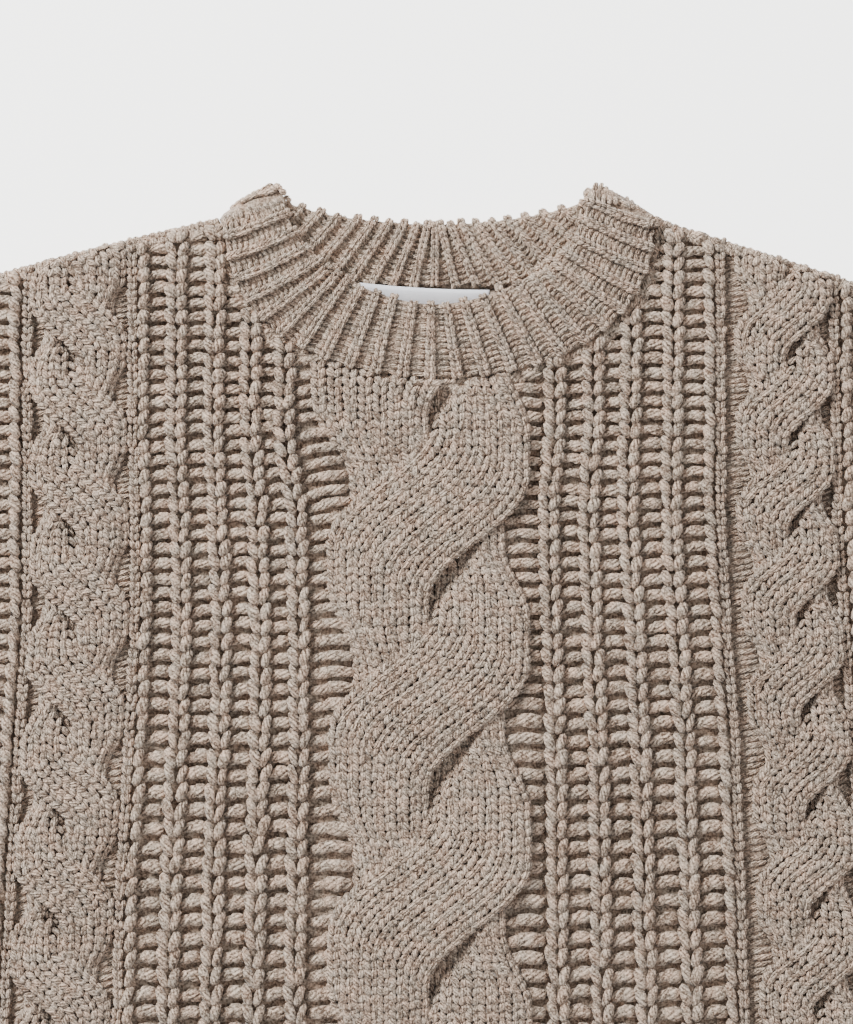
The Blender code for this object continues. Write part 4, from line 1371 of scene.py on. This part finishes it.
for index, (away, rise) in enumerate(LINK_DEPTHS):
    places = link_places(away, rise)
    neck_rows.append(lay_legs(places, STOCKINETTE, seed=60 + index, uneven=1.4, scale=0.85))
COVERS["neck"] = [join_yarn("neck_rib", neck_rows, RIB_WOOL)]

# %% [markdown]
# ## Hem
#
# The hem is the same knit-one-purl-one rib on level cloth. A place on it is found by casting a
# ray down onto the CAD node, so that the rib follows its form. The sleeves and the cuffs are
# found in the same way.

# %% Find places by looking down on a node
EYE_HEIGHT = 100 * MM       # the rays start here
STEEPEST = 0.05             # a place is left out if its normal's height is less


def looking_down(node):
    """A search tree of a CAD node's surface."""
    bm = merged_copy(node)
    tree = BVHTree.FromBMesh(bm)
    bm.free()
    return tree


def dropped_onto(tree, points, down):
    """Frames where points, seen from above, lie on a tree's surface, all headed down."""
    found, normals = [], []
    for x, y in points:
        place, normal, _, _ = tree.ray_cast(Vector((x, y, EYE_HEIGHT)), Vector((0, 0, -1)))
        if place is not None and normal.z > STEEPEST:
            found.append(place[:])
            normals.append(normal[:])
    headings = np.tile((down[0], down[1], 0), (len(found), 1))
    return frames(np.array(found), headings, np.array(normals))


hem_tree = looking_down("front_hem_rib")
hem_middle = [(0, TOP_Y - BODY_BOTTOM - HEM_RIB_HEIGHT / 2)]
hem_top = dropped_onto(hem_tree, hem_middle, (0, -1)).point[0, 2]
print("the front's hem rib is", round(hem_top / MM, 1), "mm high at its middle")

# %% Lay the hem rib
HEM_RIBS = 50
HEM_WAIST = 0.985           # how wide its lower edge is, as a share
HEM_ROW = 4.0 * MM
HEM_TOP_CLEAR, HEM_END_CLEAR = 2 * MM, 1.5 * MM
HEM_WIDTH = 2 * HALF_CHEST * float(spread(BODY_BOTTOM))
hem_drops = np.arange(BODY_BOTTOM + HEM_TOP_CLEAR, GARMENT_LENGTH - HEM_END_CLEAR, HEM_ROW)
narrowing = 1 + (HEM_WAIST - 1) * (hem_drops - BODY_BOTTOM) / HEM_RIB_HEIGHT
hem_rows = []
for rib in range(HEM_RIBS):
    for offset, legs, seed in ((0.5, BAND_KNIT, 400), (0.0, BAND_PURL, 460)):
        share = (rib + offset) / HEM_RIBS * 2 - 1
        points = np.stack([share * (HEM_WIDTH / 2) * narrowing, TOP_Y - hem_drops], 1)
        places = dropped_onto(hem_tree, points, (0, -1))
        hem_rows.append(lay_legs(places, legs, seed + rib, uneven=0.9, scale=0.92))
COVERS["front_hem"] = [join_yarn("front_hem_stitches", hem_rows, RIB_WOOL)]

# %% [markdown]
# ## Sleeves and cuffs
#
# The photograph's edge hides the sleeves, so they are plain: stockinette that runs down from
# the drop shoulder, then a ribbed cuff. Their wales narrow towards the wrist, as where a
# knitter decreases.

# %% Corners of a sleeve
SHOULDER_END = {-1: 60.0 * MM, 1: 69.6 * MM}    # drop of each shoulder's outer end
ARMHOLE_DEPTH = 226 * MM
SLEEVE_LENGTH = 415 * MM
SLEEVE_END_WIDTH = 118 * MM
SEAM_GAP = 0.3 * MM


def sleeve_frame(side):
    """Corners of a sleeve seen from above, and the directions down and across it."""
    drops = np.array([SHOULDER_END[side], SHOULDER_END[side] + ARMHOLE_DEPTH])
    armhole = np.stack([HALF_CHEST * spread(drops) + SEAM_GAP, drops], 1)
    down = np.array([math.cos(SLEEVE_ANGLE), math.sin(SLEEVE_ANGLE)])
    across = np.array([-math.sin(SLEEVE_ANGLE), math.cos(SLEEVE_ANGLE)])
    wrist_top = armhole[0] + down * SLEEVE_LENGTH
    wrist = np.array([wrist_top, wrist_top + across * SLEEVE_END_WIDTH])
    mirror = np.array([side, 1])
    return armhole * mirror, wrist * mirror, down * mirror, across * mirror


def seen_from_above(points):
    """Places on the floor's plane of points given by x and drop."""
    return np.stack([points[:, 0], TOP_Y - points[:, 1]], 1)


print("sleeves leave the body", SLEEVE_ANGLE * 180 / math.pi, "degrees below level")

# %% Lay the sleeves' stitches
FIRST_STITCH, LAST_STITCH = 0.6, 0.3        # how far they are from the ends, in rows
WALE_STRETCHES = 4          # a wale gets narrower in this many steps
NARROWING_BASE, NARROWING_SHARE = 0.45, 0.55


def sleeve_stitches(side, word):
    """The stitches of one sleeve, wale by wale, from the armhole to the wrist."""
    armhole, wrist, _, _ = sleeve_frame(side)
    tree = looking_down("sleeve_" + word)
    rows = []
    wales = int(np.linalg.norm(armhole[1] - armhole[0]) / (STITCH_WIDTH * MM))
    for wale in range(wales):
        share = (wale + 0.5) / wales
        top = armhole[0] + (armhole[1] - armhole[0]) * share
        run = wrist[0] + (wrist[1] - wrist[0]) * share - top
        length = np.linalg.norm(run)
        steps = np.arange(FIRST_STITCH, length / (STITCH_ROW * MM) - LAST_STITCH)
        steps = steps * STITCH_ROW * MM / length
        points = seen_from_above(top + steps[:, None] * run)
        width = (1 - steps) + steps * SLEEVE_END_WIDTH / ARMHOLE_DEPTH
        places = dropped_onto(tree, points, (run[0], -run[1]))
        if len(places.point) == len(points):
            for part in np.array_split(np.arange(len(points)), WALE_STRETCHES):
                narrow = NARROWING_BASE + NARROWING_SHARE * float(width[part].mean())
                rows.append(lay_legs(kept(places, part), STOCKINETTE, 500 + wale, uneven=1.0,
                                     scale=narrow))
    return join_yarn(f"sleeve_{word}_stitches", rows, WOOL)


# %% Lay the cuffs' ribs
CUFF_LENGTH = 65 * MM
CUFF_WIDTH = 100 * MM
CUFF_RIBS = 8
CUFF_TOP_CLEAR, CUFF_END_CLEAR = SEAM_GAP + 2 * MM, 1 * MM
CUFF_MARGIN, CUFF_SPREAD = 0.06, 0.88       # the ribs' shares of its width


def cuff_stitches(side, word):
    """The ribs of one cuff: knit wales, and purl between them and at both edges."""
    _, wrist, down, across = sleeve_frame(side)
    tree = looking_down("cuff_" + word)
    steps = np.arange(CUFF_TOP_CLEAR, CUFF_LENGTH - CUFF_END_CLEAR, HEM_ROW)
    rows = []
    for rib in range(CUFF_RIBS + 1):
        for offset, legs in ((0.5, BAND_KNIT), (0.0, BAND_PURL)):
            if rib + offset <= CUFF_RIBS:
                share = CUFF_MARGIN + CUFF_SPREAD * (rib + offset) / CUFF_RIBS - 0.5
                line = wrist.mean(0) + across * CUFF_WIDTH * share + down * steps[:, None]
                places = dropped_onto(tree, seen_from_above(line), (down[0], -down[1]))
                rows.append(lay_legs(places, legs, 600 + rib, uneven=0.9, scale=0.85))
    return join_yarn(f"cuff_{word}_stitches", rows, RIB_WOOL)


for side, word in SIDES:
    COVERS["sleeve_" + word] = [sleeve_stitches(side, word)]
    COVERS["cuff_" + word] = [cuff_stitches(side, word)]

# %% [markdown]
# ## Neck label
#
# A narrow woven satin label is sewn inside the back neck, its top edge over the lowest rows
# of the band. It is a thin strip of cloth with a slight ripple, white, smoother than the wool,
# and here it is bare. A grid gives it enough corners to ripple, and solidify its thickness.

# %% Satin
SATIN_FINISH = {"Roughness": 0.42, "Sheen Weight": 0.2}
SATIN_BUMP = (0.4, 0.1 * MM)
SATIN_SHADE = (0.86, 0.88, 0.96, 1)
SATIN_LIGHT = (0.96, 0.97, 1.00, 1)


def satin_material():
    """White satin with fine threads, one a little brighter than the next."""
    material, tree, shader = new_material("white_satin")
    threads = add_node(tree, "TexWave", {"Vector": object_place(tree), "Scale": 900,
                                         "Distortion": 0.6}, bands_direction="Y")
    colour = mix_colour(tree, "MIX", threads.outputs["Fac"], SATIN_SHADE, SATIN_LIGHT)
    finish_surface(tree, shader, colour, threads.outputs["Fac"], SATIN_BUMP, SATIN_FINISH)
    return material


SATIN = satin_material()
print("made", SATIN.name)

# %% Make the label
LABEL_RIPPLE = 0.35 * MM
RIPPLE_TURN, RIPPLE_DRIFT, DRIFT_TURN = 17, 2, 5    # uneven waves from one end to the other
LABEL_LIFT = 6.0 * MM       # its top edge is sewn over the band's lower edge
LIFT_SHARE = 0.625          # the lift is gained over this share of its height
LABEL_LEAN = 4.0 * MM       # its left end sits a little higher


def ripple_label(vert, low, size):
    """Moves one corner of the flat strip to its place on the rippled one."""
    across = (vert.co.x - low.x) / size.x
    up = (vert.co.y - low.y) / size.y
    wave = math.sin(across * RIPPLE_TURN + RIPPLE_DRIFT * math.sin(across * DRIFT_TURN))
    lift = LABEL_LIFT * smooth_step((up - 1) / LIFT_SHARE + 1)
    vert.co.z += LABEL_RIPPLE * (wave * 0.5 + 0.5) + lift
    vert.co.y += LABEL_LEAN * (1 - across) ** 2 * up


def neck_label():
    """A rippled strip on the CAD label's place."""
    low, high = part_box("neck_label")
    size = high - low
    bm = bmesh.new()
    bmesh.ops.create_grid(bm, x_segments=48, y_segments=12, size=0.5)
    bmesh.ops.scale(bm, vec=(size.x, size.y, 1), verts=bm.verts)
    bmesh.ops.translate(bm, vec=((low.x + high.x) / 2, (low.y + high.y) / 2, low.z),
                        verts=bm.verts)
    for vert in bm.verts:
        ripple_label(vert, low, size)
    bmesh.ops.recalc_face_normals(bm, faces=bm.faces)
    faces_up = sum(face.normal.z for face in bm.faces) > 0
    thick = size.z - LABEL_RIPPLE
    bmesh.ops.solidify(bm, geom=bm.faces[:], thickness=-thick if faces_up else thick)
    bmesh.ops.recalc_face_normals(bm, faces=bm.faces)
    for face in bm.faces:
        face.smooth = True
    mesh = bpy.data.meshes.new("label_strip")
    bm.to_mesh(mesh)
    bm.free()
    piece = new_piece("label_strip", mesh, [SATIN])
    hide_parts("neck_label")
    return piece


LABEL = neck_label()
print("label is", [round(c / MM, 1) for c in LABEL.dimensions], "mm")

# %% [markdown]
# ## The cloths
#
# The cloth walls and the label are the dress's cloths, and here they are counted. The dress
# lies flat, and the sleeves and cuffs are tubes. The band's length is an estimate that lies
# between the length of its seam and that of its middle.


print("declared", len(WALLS) + 1, "cloths")

# %% [markdown]
# ## Floor, light and camera
#
# The photograph looks straight down on a pale grey surface, in soft light that comes mostly
# from the upper left. A wide area light gives the soft shadows, and a pale world fills them.
# The floor also glows of itself, so that it stays as pale as in the photograph.

# %% Set the stage
FLOOR_REACH = 6.0           # from its middle to its edges
FLOOR_FINISH = {"Base Color": (0.90, 0.90, 0.885, 1), "Roughness": 0.85,
                "Emission Color": (1.0, 1.0, 0.98, 1), "Emission Strength": 2.5}
LIGHT_TARGET = Vector((0, 0.25, 0))
# place, size, power and colour of each light
LIGHTS = {"key_light": ((-1.5, 1.75, 1.6), 0.9, 120, (1.0, 0.99, 0.97)),
          "fill_light": ((1.9, -0.6, 2.2), 2.0, 14, (0.97, 0.98, 1.0))}
SKY = {"Color": (0.97, 0.98, 1.0, 1), "Strength": 0.60}


def pale_floor():
    """A wide plain floor."""
    bm = bmesh.new()
    bmesh.ops.create_grid(bm, x_segments=2, y_segments=2, size=FLOOR_REACH)
    mesh = bpy.data.meshes.new("floor")
    bm.to_mesh(mesh)
    bm.free()
    material, tree, shader = new_material("pale_floor")
    for socket, value in FLOOR_FINISH.items():
        fill(tree, shader.inputs[socket], value)
    mesh.materials.append(material)
    floor = bpy.data.objects.new("floor", mesh)
    bpy.context.scene.collection.objects.link(floor)
    floor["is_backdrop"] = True


def area_light(name, place, size, power, colour):
    """A soft round light that looks at the neck and chest."""
    data = bpy.data.lights.new(name, "AREA")
    data.shape = "DISK"
    data.size = size
    data.energy = power
    data.color = colour
    light = bpy.data.objects.new(name, data)
    light.location = place
    heading = LIGHT_TARGET - Vector(place)
    light.rotation_euler = heading.to_track_quat("-Z", "Y").to_euler()
    bpy.context.scene.collection.objects.link(light)


pale_floor()
for name, light in LIGHTS.items():
    area_light(name, *light)
world = bpy.data.worlds.new("studio")
world.use_nodes = True
for socket, value in SKY.items():
    world.node_tree.nodes["Background"].inputs[socket].default_value = value
bpy.context.scene.world = world
print("set a floor,", len(LIGHTS), "lights and a pale world")

# %% [markdown]
# ## Camera
#
# The photograph's rows and columns give the camera its place: the neckband's top lies on one
# row and the garment's centre line on one column, at so many millimetres a pixel. From there
# the lens follows, as for any camera: sensor size times distance, over the size of the view.

# %% Place the camera
IMAGE_WIDTH, IMAGE_HEIGHT = 853, 1024
PIXEL = 0.5556 * MM
CENTRE_COLUMN, NECK_TOP_ROW = 435, 181
CAMERA_HEIGHT = 1.6
SENSOR = 36.0
camera_data = bpy.data.cameras.new("camera")
camera_data.sensor_width = SENSOR
camera = bpy.data.objects.new("camera", camera_data)
middle_x = (IMAGE_WIDTH / 2 - CENTRE_COLUMN) * PIXEL
middle_drop = (IMAGE_HEIGHT / 2 - NECK_TOP_ROW) * PIXEL
camera.location = (middle_x, TOP_Y - middle_drop, CAMERA_HEIGHT)
camera_data.lens = SENSOR * (CAMERA_HEIGHT - GROUND) / (IMAGE_HEIGHT * PIXEL)
bpy.context.scene.collection.objects.link(camera)
bpy.context.scene.camera = camera
print("lens", round(camera_data.lens, 1), "mm")

# %% [markdown]
# ## Count the faces
#
# The last lines count the faces of every shown mesh piece and print their number.

# %% Count the faces
faces = sum(len(piece.data.polygons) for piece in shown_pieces() if piece.type == "MESH")
print("faces in all:", faces)
